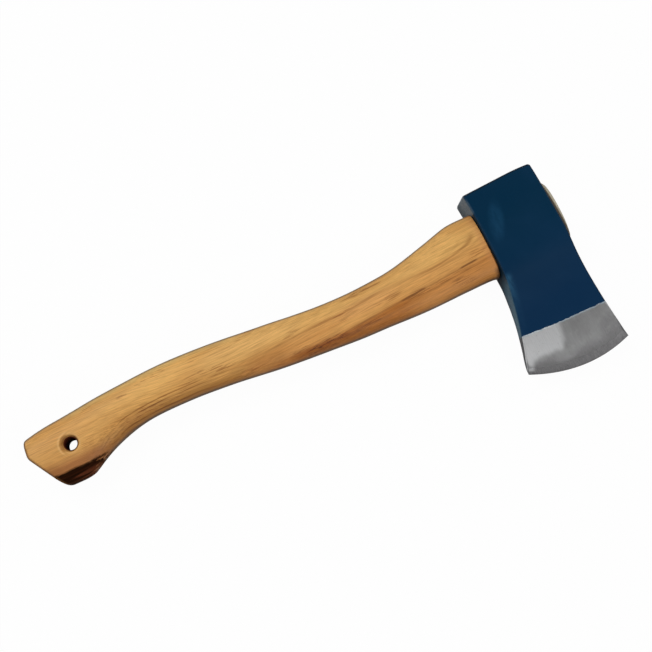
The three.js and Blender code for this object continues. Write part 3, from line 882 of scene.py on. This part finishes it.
DASH_PATCHES = [  # centre x, y, half sizes x, y, strength
    (-216.0, 11.6, 13, 2.6, 0.80), (-202, 9.4, 11, 2.6, 0.80), (-188, 0.2, 9, 2.4, 0.5),
    (-95, -0.6, 10, 2.3, 0.6), (-33, -1.2, 7, 2.6, 0.62), (-45, -11.5, 11, 3.4, 0.6),
    (-76, -5.8, 10, 2.4, 0.6), (-156, 7.4, 6, 2.6, 0.5), (-121, 2.0, 7, 3.0, 0.35),
    (-261, 21.9, 3.6, 1.1, 0.55), (-248, 23.8, 4.5, 1.2, 0.9), (-236.5, 24.2, 4.5, 1.7, 0.7),
    (-283, 24.6, 4.5, 1.9, 0.6), (-214, 22.2, 4.5, 1.6, 0.5), (-183, 20.3, 5.0, 1.8, 0.4),
    (-139, -7.0, 16, 2.6, 1.0), (-154, -3.0, 7, 2.2, 0.6), (-112, -8.2, 12, 2.4, 0.5),
    (-106, 11.4, 11, 1.3, 1.0), (-128, 5.0, 14, 1.4, 0.6), (-60, -6.4, 22, 2.2, 0.45),
    (-250, 8.5, 30, 3.0, 0.55), (-285, 6.5, 12, 3.0, 0.45),
]


def outline_curve(x, column):
    return x.curve([(row[0], row[column]) for row in HAFT[::3]])


def hickory_grain(net):
    """The fields that the layers of wood share."""
    place, x, y, z = net.place()
    leaning = net.add("CombineXYZ", {0: x, 1: y - x.curve(FIBRE_LEAN), 2: z})
    grain = SimpleNamespace(net=net, x=x, y=y, **net.noises(place, BILLET_NOISE),
                            **net.noises(leaning, FIBRE_NOISE))
    grain.normal = net.split(net.add("NewGeometry", output="Normal"))
    grain.flat = abs(grain.normal[2]).fade(0.35, 0.85)
    # x with ragged ends, for what starts or stops along the billet
    grain.ragged_x = x + (grain.ragged - 0.5) * 64.0
    # growth rings about a far-off pith, drifting slowly along the billet
    small_drift = grain.small_drift - 0.5
    pith_y = y + ((grain.drift - 0.5) * 9.0 + small_drift * 2.4) + 74.0
    pith_z = z + small_drift * 5.0 + 26.0
    radius = net.math("SQRT", pith_y * pith_y + pith_z * pith_z) + x * 0.011
    ring_spacing = 3.3
    shade = net.math("FRACT", radius / ring_spacing).grey_ramp(RING_SHADE)
    grain.ring = shade * (grain.ring_patches.fade(0.33, 0.72) * 0.85 + 0.15)
    grain.pore = grain.pore.fade(0.64, 0.72) * (grain.ring * 0.7 + 0.2)
    grain.broken = grain.broken.fade(0.36, 0.60)
    grain.wavy_y = y + (grain.wander - 0.5) * 1.8
    grain.over_belly = y - outline_curve(x, 2)
    return grain


def tone_spots(grain, wood, spots):
    for x, y, half_x, half_y, full, amount, colour in spots:
        mask = grain.net.spot(grain.x, grain.y, (x, y), (half_x, half_y), rim=(1.8, full))
        wood = wood.tint(mask, colour, amount)
    return wood


def sapwood(grain):
    x, y, ragged_x, over_belly = grain.x, grain.y, grain.ragged_x, grain.over_belly
    wood = grain.net.mix(grain.blotch.fade(0.34, 0.70), SAP_PALE, SAP_DEEP)
    # painted shade: browner along the belly of the grip, the side turned from the light
    low = over_belly.fade(15.0, 2.5) * ragged_x.fade(-120.0, -175.0)
    wood = wood.tint(low, (152, 92, 20), amount=0.36)
    lowest = over_belly.fade(6.5, 0.5) * ragged_x.fade(-160.0, -200.0)
    wood = wood.tint(lowest, SAP_BELLY_SHADE, amount=0.62)
    # paler where hands have polished it, redder in the middle of the billet
    wood = tone_spots(grain, wood, HAND_SPOTS)
    redness = ragged_x.curve([(-192, 0), (-178, 0.62), (-150, 0.58), (-120, 0.42), (-24, 0.36)])
    wood = wood.tint(grain.wavy_y.fade(8.0, 1.5) * redness, (204, 140, 76))
    wood = tone_spots(grain, wood, MIDDLE_SPOTS)
    # the belly side of the knob
    wood = wood.tint(y.fade(6.8, -0.4) * x.fade(-270.0, -290.0), (154, 97, 54), amount=0.86)
    wood = wood.tint(grain.ring * grain.flat.ramp(0, 1, 0.60, 0.24), SAP_RING)
    wood = tone_spots(grain, wood, LATE_SPOTS)
    # yellower along the back of the grip
    under_back = outline_curve(x, 1) - y
    grip = x.curve([(-300, 0), (-282, 1.0), (-205, 1.0), (-180, 0)])
    return wood.tint(under_back.fade(5.5, 1.5) * grip, (214, 184, 116), amount=0.55)


def swell_figure(grain, wood):
    """The pale cathedral figure on the swell behind the head."""
    along = (grain.x + 75.0) / 44.0
    across = (grain.wavy_y - 13.0) / 9.6
    oval_radius = (abs(along) ** 3.0 + abs(across) ** 3.0) ** 0.3333
    swell = grain.x.fade(-82.0, -62.0)
    wood = wood.tint(oval_radius.fade(0.98, 0.72) * swell, SAP_FIGURE, amount=0.70)
    arcs = (oval_radius - 1.0).line(0.055) + (oval_radius - 0.80).line(0.03) * 0.25
    arcs = arcs + (oval_radius - 1.17).line(0.05) * 0.4
    return wood.tint(arcs * swell * grain.y.fade(15.0, 7.0), (142, 88, 40), amount=0.55)


def heartwood(grain, wood):
    """Redder wood on the belly side of a long boundary."""
    x = grain.x
    boundary = x.curve([(-330, -4), (-200, -4.0), (-178, -3.6), (-160, -3.8), (-140, -4.6),
                        (-115, -5.6), (-85, -5.0), (-55, -5.0), (-24, -4.6)])
    strength = grain.ragged_x.curve([(-200, 0), (-178, 0.45), (-160, 1.0), (-100, 1.0),
                                     (-76, 0.78), (-24, 0.74)])
    grain.heart = (grain.wavy_y - boundary).fade(1.6, -2.4) * strength
    colour = grain.net.mix(grain.blotch.fade(0.36, 0.66), HEART_PALE, HEART_DEEP)
    colour = colour.tint(grain.ring, HEART_RING, amount=0.30)
    colour = colour.tint(x.fade(-96.0, -66.0, 0.0, 0.42), (204, 142, 76))
    wood = wood.tint(grain.heart, colour, amount=0.92)
    depth = x.curve([(-170, 0.3), (-140, 0.6), (-105, 0.62), (-80, 0.25), (-55, 0.0),
                     (-40, 0.16), (-24, 0.22)])
    return wood.tint(grain.heart * depth, (150, 86, 24))


def streaks(grain, wood):
    for where, width, along, colour, amount, is_broken in STREAKS:
        mask = (grain.wavy_y - grain.x.curve(where)).line(width) * grain.x.curve(along)
        if is_broken:
            mask = mask * grain.broken.ramp(0, 1, 0.35, 1.0)
        wood = wood.tint(mask, colour, amount)
    return wood


def run_out_lines(grain, wood):
    """Dark lines that follow the hollow of the grip."""
    wave = grain.net.math("SINE", grain.over_belly * 3.25 + grain.sway * 5.0)
    lines = wave.fade(-0.05, 0.85) * grain.run_out_breaks.fade(0.36, 0.58)
    span = grain.x.curve([(-296, 0), (-286, 0.20), (-272, 0.50), (-258, 0.9), (-245, 1.0),
                          (-222, 0.75), (-205, 0.35), (-190, 0.25), (-160, 0)])
    lines = lines * span * grain.over_belly.fade(10.0, 6.5)
    return wood.tint(lines, (122, 74, 28), amount=0.86)


def dashes(grain, wood):
    """Short dashes and flecks, in patches."""
    net, patches = grain.net, None
    for x, y, half_x, half_y, strength in DASH_PATCHES:
        patch = net.spot(grain.x, grain.y, (x, y), (half_x, half_y)) * strength
        patches = patch if patches is None else net.math("MAXIMUM", patches, patch)
    grain.dash = grain.dash.fade(0.52, 0.59) * (patches + 0.10)
    colour = net.mix(grain.heart, (138, 82, 36), (84, 40, 16))
    return wood.tint(grain.dash, colour, amount=0.78)


def toe_heart_and_shade(grain, wood):
    """The toe of the knob: near-black heartwood deepened with painted shade where it turns down, with a
    crisp upper boundary.
    """
    x, y, ragged_x = grain.x, grain.y, grain.ragged_x
    wave = grain.toe_wave - 0.5 + (grain.toe_teeth - 0.5) * 1.3
    boundary = x.curve([(-320, -0.6), (-314, -1.6), (-305, -2.3), (-296, -3.0), (-289, -2.7),
                        (-284, -2.6)])
    over = y + wave * 1.5 - boundary
    grain.toe = over.fade(0.75, -0.95) * (ragged_x - y * 0.55).fade(-277.0, -287.0)
    colour = grain.net.mix(grain.toe_tone.fade(0.42, 0.66), (12, 2, 2), (32, 9, 4))
    colour = colour.tint(y.fade(-5.0, -7.8) * ragged_x.fade(-308.0, -297.0), (84, 42, 26))
    return wood.tint(grain.toe, colour, amount=0.97)


def fibres(grain, wood):
    """Fine, long growth lines that break up, then fibres and pores over everything."""
    lines = grain.growth_lines.fade(0.53, 0.62) * grain.broken.ramp(0, 1, 0.35, 1.0)
    lines = lines * grain.x.fade(-300.0, -262.0, 0.15, 1.0)
    wood = wood.tint(lines * grain.toe.scaled(by=-0.29, plus=0.30), (150, 98, 46))
    shade = grain.fibre.ramp(0.25, 0.75, 0.75, 1.285) * grain.fine_fibre.ramp(0.2, 0.8, 0.87, 1.14)
    grey = grain.net.add("CombineColor", {0: shade, 1: shade, 2: shade})
    wood = grain.net.mix(1.0, wood, grey, "MULTIPLY")
    return wood.tint(grain.pore, (100, 58, 24), amount=0.45)


def painted_edge_shade(grain, wood):
    """Painted shade: the edges of the section are browner than the broad faces, most where they face the
    belly.
    """
    under = grain.normal[1].fade(0.15, -0.35, 0.09, 0.23)
    dry = 1.0 - grain.toe * 0.85
    wood = wood.tint((1.0 - grain.flat) * under * dry, (118, 70, 8))
    # painted shade, darker where the surface turns to grazing angles
    steep = abs(grain.normal[2]).fade(0.86, 0.64)
    grazing = grain.net.facing().fade(0.42, 0.78, 0.0, 0.84)
    return wood.tint(grazing * steep * dry, (70, 52, 24))


def cut_ends(grain, wood):
    x, y = grain.x, grain.y
    # sawn crown: weathered end grain, with painted shade where it meets the head
    grain.crown = x.fade(23.9, 24.6)
    colour = grain.net.mix(grain.ring * 0.45, (188, 180, 158), (150, 132, 104))
    colour = colour.tint(grain.crown_tone.fade(0.48, 0.72, 0, 0.45), (158, 132, 98))
    colour = colour.tint(x.fade(26.1, 25.0, 0.0, 0.88), (60, 48, 40))
    wood = wood.tint(grain.crown, colour)
    # end grain on the butt drinks more oil
    grain.butt = grain.normal[0].fade(-0.22, -0.62) * x.fade(-300.0, -306.0)
    wood = wood.tint(grain.butt, (104, 68, 36), amount=0.55)
    # painted shade: a dark line along the edge round the end cut and toe cut, by the depth inside those
    # planes
    toe_depth = x.scaled(by=0.888, plus=y.scaled(by=0.4597, plus=281.8))
    end_depth = x.scaled(by=0.9969, plus=y.scaled(by=-0.0787, plus=325.04))
    edge = grain.net.math("MINIMUM", toe_depth, end_depth).fade(2.0, 0.5)
    return wood.tint(edge, (98, 66, 36), amount=0.58)


def hole_shade_and_highlight(grain, wood):
    """The hole in the knob: a dark bore of painted shade over reddish-brown wood, painted shade at the two
    edges of the rim, and painted highlight rings round the mouth.
    """
    dx = grain.x - HOLE_X
    dy = grain.y - HOLE_Y
    radius = grain.net.math("SQRT", dx * dx + dy * dy)
    side = (dx * 0.35 + dy * 0.94).fade(-3.5, 2.0)
    # painted shade down the mouth, and a dark painted ring at its edge, on the upper side
    wood = wood.tint(radius.fade(6.6, 4.3) * side.ramp(0, 1, 0.10, 0.46), (136, 88, 36))
    wood = wood.tint((radius - 4.75).line(0.30) * side, (92, 58, 30), amount=0.55)
    away = (dx * 0.62 + dy * -0.62).fade(-2.2, 2.0)
    # the mouth is sanded wider on the side towards the butt and the back
    wide = (dx * -0.90 + dy * 0.44).fade(1.2, 4.4)
    # painted highlight rings round the mouth
    pale = (238, 196, 130)
    wood = wood.tint((radius - 5.5).line(0.55) * (1.0 - wide), pale, amount=0.30)
    wood = wood.tint((radius - 7.1).line(0.55) * wide, pale, amount=0.30)
    # painted shade in the wider part of the mouth
    wood = wood.tint(radius.fade(6.7, 5.9) * wide, (138, 84, 22), amount=0.50)
    # painted shade on the side of the mouth turned from the light, and in the bore
    wood = wood.tint(radius.fade(5.0, 4.5) * away, (70, 38, 20), amount=0.80)
    return wood.tint(radius.fade(4.35, 4.0, 0.0, 0.94), (84, 30, 16))


def shoulder_rim(grain, wood):
    """A paler rim at the shoulder, and painted shadow in the corner on its belly side."""
    x = grain.x
    wood = wood.tint(x.fade(-31.0, -25.6) * x.fade(0.0, -10.0), (196, 134, 82), amount=0.42)
    # painted shadow under the shoulder, on the belly side
    corner = x.fade(-29.5, -25.6) * x.fade(0.0, -10.0) * grain.y.fade(-13.0, -17.0)
    return wood.tint(corner, (56, 38, 16), amount=0.85)


def oiled_hickory():
    net = Net("oiled_hickory")
    grain = hickory_grain(net)
    wood = sapwood(grain)
    for layer in (swell_figure, heartwood, streaks, run_out_lines, dashes, toe_heart_and_shade, fibres,
                  painted_edge_shade, cut_ends, hole_shade_and_highlight, shoulder_rim):
        wood = layer(grain, wood)
    rough = grain.fibre.ramp(0.3, 0.7, 0.44, 0.56)
    rough = rough + grain.crown * 0.35 + grain.butt * 0.15 + grain.toe * 0.12
    height = grain.fibre * 0.5 + grain.fine_fibre * 0.5
    height = height - grain.pore * 0.9 - grain.dash * 0.8 - grain.ring * 0.15
    normal = net.bump(height, depth=0.07, strength=0.6)
    normal = net.bump(grain.saw * grain.crown, depth=0.22, strength=0.5, over=normal)
    return net.principled({
        "Base Color": wood, "Roughness": rough, "Normal": normal, "IOR": 1.46,
        "Specular IOR Level": grain.toe.scaled(by=-0.24, plus=0.25),
        "Coat Weight": grain.toe.scaled(by=-0.03, plus=0.03), "Coat Roughness": 0.35})


# ----------------------------------------------------------- wedge materials
WEDGE_WOOD_NOISE = {
    "fibre": (0.3, 1.1, 3.0, 0, 3, 1, 4, 0.65),
    "spots": (2.0, 3.0, 3.0, 4, 3, 1, 3, 0.6),
}
WEDGE_STEEL_NOISE = {
    "tone": (0.9, 0.9, 0.9, 1, 5, 2, 5, 0.65),
    "rust": (0.5, 0.5, 0.5, 8, 5, 2, 5, 0.7),
}


def wedge_hardwood():
    net = Net("wedge_hardwood")
    grain = SimpleNamespace(**net.noises(net.place()[0], WEDGE_WOOD_NOISE))
    colour = net.mix(grain.fibre.fade(0.3, 0.7), (222, 196, 146), (176, 138, 84))
    spots = grain.spots.fade(0.58, 0.7)
    colour = colour.tint(spots, (128, 92, 50), amount=0.5)
    normal = net.bump(grain.fibre + spots, depth=0.12, strength=0.6)
    return net.principled({"Base Color": colour, "Roughness": 0.8, "Normal": normal})


def wedge_steel():
    net = Net("wedge_steel")
    place = net.place()[0]
    metal = SimpleNamespace(**net.noises(place, WEDGE_STEEL_NOISE))
    dents = net.add("TexVoronoi", {"Vector": net.stretch(place, (0.55, 0.55, 0.55), (1, 5, 2)),
                                   "Scale": 1.0}, output="Distance", feature="SMOOTH_F1")
    colour = net.mix(metal.tone.fade(0.35, 0.7), (150, 152, 156), (96, 96, 98))
    rust = metal.rust.fade(0.58, 0.72)
    colour = colour.tint(rust, (112, 70, 42), amount=0.6)
    normal = net.bump(dents, depth=0.5, strength=0.5)
    normal = net.bump(metal.tone, depth=0.08, strength=0.6, over=normal)
    return net.principled({"Base Color": colour, "Metallic": 1.0 - rust * 0.7,
                           "Roughness": metal.tone.ramp(0.3, 0.7, 0.34, 0.55), "Normal": normal})


# ------------------------------------------------------------- forged steel
HEAD_NOISE = {
    "line_wave": (0.22, 0.05, 0.02, 3, 4, 5, 2, 0.5),
    "line_ripple": (0.62, 0.2, 0.1, 3, 4, 5, 2, 0.5),
    # enamel
    "tone": (0.03, 0.03, 0.05, 2, 1, 4, 3, 0.55),
    "peel": (0.9, 0.9, 0.9, 2, 1, 4, 2, 0.5),
    "grit": (4.2, 4.2, 4.2, 2, 1, 4, 2, 0.5),
    "scuff": (0.35, 0.12, 0.3, 4, 4, 4, 3, 0.6),
    # bare steel; the scratches run from the paint line to the edge
    "scratch": (3.2, 0.10, 0.5, 1, 2, 3, 4, 0.7),
    "fine_scratch": (9.0, 0.35, 0.5, 8, 2, 3, 2, 0.6),
    "band": (0.12, 0.05, 0.02, 5, 2, 3, 3, 0.5),
    "cloud": (0.22, 0.20, 0.2, 15, 2, 3, 3, 0.6),
    "fleck": (0.9, 0.8, 0.8, 5, 12, 3, 2, 0.5),
    "rim": (0.16, 0.05, 0.02, 9, 4, 5, 2, 0.5),
}
PAINT_LINE = [  # x, y
    (-44, -57.0), (-34, -58.2), (-20, -59.9), (-10, -61.1), (-5, -61.5), (0, -61.8), (10, -62.4),
    (20, -63.0), (30, -63.7),
]
BEARD_LINE = [  # y, x of the head's low side
    (-60, -34.0), (-50, -30.9), (-42, -28.9), (-34, -27.2), (-27, -25.8), (-21, -25.2), (-9, -24.5),
]
BEARD_HIGHLIGHT = [  # y, strength
    (-58, 0.10), (-48, 0.16), (-38, 0.34), (-31, 0.75), (-26, 1.0), (-20, 0.9),
]
SHINE_SIDE = [(-84, -18.5), (-77, -14.2), (-70, -10.6), (-62, -8.8), (-58, -8.5)]    # y, x
SHINE_FOOT = [  # x, y
    (-41, -79.8), (-36, -78.6), (-32.5, -76.2), (-28, -74.6), (-22, -74.8), (-16, -76.6), (-8, -79.5),
]
EDGE_LINE = [  # x, y
    (-41, -80.0), (-34, -83.4), (-28, -85.8), (-22, -87.7), (-15, -89.5), (-8, -90.7),
    (0, -91.4), (8, -91.5), (15, -90.9), (22, -89.8), (28, -88.2),
]


def side_paint_and_painted_light(metal, under):
    """Paint on the side faces; under is 1 where they face the butt, and there painted reflection makes it
    grey, with painted shadow and shade on it.
    """
    y = metal.y
    # painted reflection: grey, bluer down the beard
    colour = metal.net.mix(y.fade(-16.0, -30.0), (92, 102, 109), (62, 92, 108))
    # painted shadow where the haft sits against the side face
    colour = colour.tint(y.fade(-29.0, -20.5) * y.fade(21.6, 20.0), (18, 38, 50))
    # painted shade, darker towards the floor
    colour = colour.tint(metal.z.fade(15.0, 5.0), (22, 38, 48), amount=0.60)
    colour = colour.tint(metal.peel.fade(0.44, 0.62, 0.0, 0.35), (24, 50, 66))
    return metal.net.mix(under, (10, 48, 76), colour)


def enamel(metal):
    """Dark blue paint over the forging."""
    net, x, y, cheek = metal.net, metal.x, metal.y, metal.cheek
    blue = net.mix(y.fade(14.0, -50.0), (0, 42, 68), (3, 42, 74))
    blue = blue.tint(metal.tone.fade(0.42, 0.72, 0.0, 0.30), (8, 49, 81))
    # painted highlights by the eye, down the beard where its rounded corner catches the light, and on a
    # corner of the poll
    scuff = metal.scuff.fade(0.34, 0.62)
    slanted_x = x + (y - 12.0) * -0.35
    sheen = net.spot(slanted_x, y, (-12.5, 10.5), (4.6, 10.5), rim=(2.0, 0.0)) * 0.34
    blue = blue.tint(sheen * scuff.ramp(0, 1, 0.42, 0.9), (42, 98, 138), amount=0.58)
    from_beard = x - y.curve(BEARD_LINE)
    beard = from_beard.fade(5.6, 1.2) * y.fade(-19.0, -24.0) * y.curve(BEARD_HIGHLIGHT)
    blue = blue.tint(beard * 0.9 * scuff.ramp(0, 1, 0.35, 1.0), (48, 96, 126), amount=0.62)
    corner = x.fade(-21.9, -23.2) * y.fade(20.0, 22.5) * y.fade(32.0, 28.5)
    blue = blue.tint(corner * scuff.ramp(0, 1, 0.5, 1.0), (72, 92, 106), amount=0.62)
    blue = blue.tint(metal.grit.fade(0.70, 0.78), (38, 64, 88), amount=0.30)
    under = metal.normal[0].fade(-0.12, -0.62)
    blue = blue.tint(1.0 - cheek, side_paint_and_painted_light(metal, under))
    # painted shade along the rounded edges, and plain grey where a side face is ground bare
    upright = abs(metal.normal[2])
    rounded = upright.fade(0.12, 0.30) * upright.fade(0.97, 0.80) * (1.0 - under)
    blue = blue.tint(rounded, (3, 18, 30), amount=0.75)
    return blue.tint(metal.ground * (1.0 - cheek), (62, 62, 63))


def ground_steel(metal):
    """The bare bit between the paint line and the edge."""
    net, x, y = metal.net, metal.x, metal.y
    band = metal.band - 0.5
    steel = net.mix(band.fade(-0.16, 0.16), (172, 172, 173), (160, 160, 160))
    # painted reflection: the heel half is painted bright, as if it caught the light
    shift = band * 5.0
    painted_shine = (x - y.curve(SHINE_SIDE) + shift).fade(2.6, -2.6)
    painted_shine = painted_shine * (y - x.curve(SHINE_FOOT) + shift).fade(-2.6, 2.6)
    steel = steel.tint(painted_shine, (232, 233, 234))
    # painted reflection: a paler patch on the bit
    pale = net.spot(x, y, (12.5, -75.5), (5.5, 5.0), rim=(1.6, 0.0))
    steel = steel.tint(pale, (168, 168, 169), amount=0.5)
    from_heel = x - y.curve([(-80, -41.0), (-70, -37.6), (-58, -33.4)])
    # a painted glint along the heel
    glint = (from_heel - 2.6).line(1.9) * y.fade(-83.0, -80.0)
    steel = steel.tint(glint, (254, 254, 254), amount=0.85)
    # painted shade along the fine bevel, as on a facet turned from the light, which the slope of the faces
    # picks out
    from_edge = y - x.curve(EDGE_LINE)
    steel = steel.tint((from_edge + band * 3.0).fade(13.5, 3.5, 0.0, 0.82), (106, 105, 106))
    fine = abs(metal.true_normal[2]).fade(0.9840, 0.9805)
    bevel = net.mix(x.fade(0.0, -26.0), (79, 78, 79), (72, 71, 72))
    bevel = bevel.tint((from_edge + band * 3.0).fade(1.0, 5.2, 0.0, 0.60), (86, 85, 86))
    bevel = bevel.tint(from_edge.fade(1.15, 0.55, 0.0, 0.55), (52, 51, 52))
    steel = steel.tint(fine * from_edge.fade(9.0, 7.0), bevel, amount=0.96)
    # clouds and flecks of tone, and dark and light spots of painted reflection
    dark = net.spot(x, y, (21.0, -78.5), (9.5, 8.5), rim=(1.5, 0.1))
    steel = steel.tint(dark, (118, 117, 118), amount=0.45)
    clouds = metal.cloud.fade(0.50, 0.68, 0.0, 0.16) * from_edge.fade(5.0, 8.5)
    steel = steel.tint(clouds, (206, 206, 207))
    light = net.spot(x, y, (-13.5, -80.5), (8.0, 3.6), rim=(1.6, 0.2))
    steel = steel.tint(light, (196, 196, 197), amount=0.24)
    # painted shine in the heel corner
    heel = from_heel.fade(6.4, 3.2) * from_edge.fade(1.5, 3.4)
    steel = steel.tint(heel, net.mix(fine, (222, 223, 224), (166, 167, 168)), amount=0.66)
    flecks = metal.fleck.fade(0.66, 0.74, 0.0, 0.34) * from_edge.fade(3.0, 7.0, 0.25, 1.0)
    steel = steel.tint(flecks, (120, 120, 121))
    # a pale rim where the paint was ground away
    rim = metal.from_paint.fade(-1.15, -0.45) * metal.rim.fade(0.35, 0.65, 0.25, 0.80)
    steel = steel.tint(rim, (176, 196, 208))
    steel = steel.tint(metal.scratch.ramp(0.3, 0.7, 0.0, 0.17), (96, 97, 99))
    steel = steel.tint(metal.fine_scratch.ramp(0.35, 0.7, 0.0, 0.12), (226, 226, 226))
    # painted shade where the steel turns to grazing angles
    return steel.tint(net.facing().fade(0.22, 0.66, 0.0, 0.62), (96, 98, 102))


def enamelled_forged_steel():
    """Enamel above the paint line and ground steel below it."""
    net = Net("enamelled_forged_steel")
    place, x, y, z = net.place()
    metal = SimpleNamespace(net=net, x=x, y=y, z=z, **net.noises(place, HEAD_NOISE))
    geometry = net.node("NewGeometry")
    metal.normal = net.split(Field(net, geometry.outputs["Normal"]))
    metal.true_normal = net.split(Field(net, geometry.outputs["True Normal"]))
    metal.cheek = abs(metal.normal[2]).fade(0.45, 0.75)
    # the paint line wavers a little
    waver = (metal.line_wave - 0.5) * 0.7 + (metal.line_ripple - 0.5) * 0.95
    metal.from_paint = y - (x.curve(PAINT_LINE) + waver)
    metal.ground = metal.from_paint.fade(0.20, -0.20)
    bare = metal.ground * metal.cheek

    def either(painted, ground):
        return painted * (1.0 - bare) + ground * bare

    rough = either(metal.tone.ramp(0.3, 0.7, 0.36, 0.46), metal.scratch.ramp(0.3, 0.7, 0.32, 0.46))
    paint_height = metal.peel * 0.7 + metal.grit * 0.3
    steel_height = metal.scratch * 0.7 + metal.fine_scratch * 0.3
    normal = net.bump(either(paint_height, 0.5), depth=0.05, strength=0.35)
    normal = net.bump(either(0.5, steel_height), depth=0.03, strength=0.5, over=normal)
    # the step down from the paint to the steel
    normal = net.bump(1.0 - bare, depth=0.12, strength=0.5, over=normal)
    return net.principled({
        "Base Color": net.mix(bare, enamel(metal), ground_steel(metal)), "Metallic": bare,
        "Roughness": rough, "Normal": normal, "Specular IOR Level": either(0.10, 0.5)})


# ----------------------------------------------------------------- assembly
hickory = oiled_hickory()
forged = enamelled_forged_steel()
hardwood = wedge_hardwood()
steel = wedge_steel()
PIECES = [  # object, its name, its material, the node it replaces, its slot
    (head, "forged_head", forged, "axe_head", "enamelled_forged_steel"),
    (haft, "hickory_haft", hickory, "haft", "oiled_hickory"),
    (wooden, "hardwood_wedge", hardwood, "wooden_wedge", "wedge_hardwood"),
    (steels[0], "steel_cross_wedge_front", steel, "steel_wedge_front", "wedge_steel"),
    (steels[1], "steel_cross_wedge_rear", steel, "steel_wedge_rear", "wedge_steel"),
]
for body, name, material, node, slot in PIECES:
    body.name = name
    body.data.materials.clear()
    body.data.materials.append(material)
    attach(body, "root")
    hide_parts(node)


# ------------------------------------------------------- floor, light, camera
def floor_white():
    """Almost pure white to the camera, and a grey diffuse to the light."""
    net = Net("floor_white")
    seen = net.add("LightPath", output="Is Camera Ray")
    diffuse = net.add("BsdfDiffuse", {0: (0.80, 0.80, 0.80, 1)})
    glow = net.add("Emission", {0: (1, 1, 1, 1), 1: 1.0})
    return net.finish(net.add("MixShader", {0: seen * 0.97, 1: diffuse, 2: glow}))


bpy.ops.mesh.primitive_plane_add(size=12.0, location=(0, 0, -0.0002))
floor = bpy.context.active_object
floor.name = "floor"
floor.data.materials.append(floor_white())

LIGHT_TARGET = Vector((-0.14, 0.0, 0.0))
LIGHT_DISTANCE = 2.2
LIGHTS = [  # name, direction from the target, size in m, power in W
    ("key", (-0.30, 0.52, 0.80), 1.25, 25), ("fill", (0.30, -0.66, 0.69), 1.2, 15),
    ("left", (-0.95, -0.10, 0.50), 1.2, 9), ("right", (0.92, 0.20, 0.50), 1.2, 9),
]
for name, direction, size, power in LIGHTS:
    direction = Vector(direction).normalized()
    light = bpy.data.lights.new(name, "AREA")
    light.shape = "SQUARE"
    light.size = size
    light.energy = power
    lamp = bpy.data.objects.new(name, light)
    lamp.location = LIGHT_TARGET + direction * LIGHT_DISTANCE
    lamp.rotation_euler = (-direction).to_track_quat("-Z", "Y").to_euler()
    bpy.context.scene.collection.objects.link(lamp)

scene = bpy.context.scene
world = bpy.data.worlds.new("studio")
scene.world = world
world.use_nodes = True
background = world.node_tree.nodes["Background"]
background.inputs["Color"].default_value = (1, 1, 1, 1)
background.inputs["Strength"].default_value = 0.16

camera_data = bpy.data.cameras.new("camera")
camera_data.sensor_width = 36.0
camera_data.lens = 65.7055215
camera_data.clip_start = 0.01
camera = bpy.data.objects.new("camera", camera_data)
camera.matrix_world = Matrix((
    (0.87758796, -0.4774204, 0.0436936, 0),         # its right
    (0.46201385, 0.86654589, 0.18878935, 0),        # its up
    (-0.1279944, -0.14549221, 0.98104508, 0),       # its back
    (-0.2261087, -0.1007663, 0.7181205, 1),         # its place
)).transposed()
scene.collection.objects.link(camera)
scene.camera = camera
scene.view_settings.view_transform = "Standard"
scene.view_settings.look = "None"
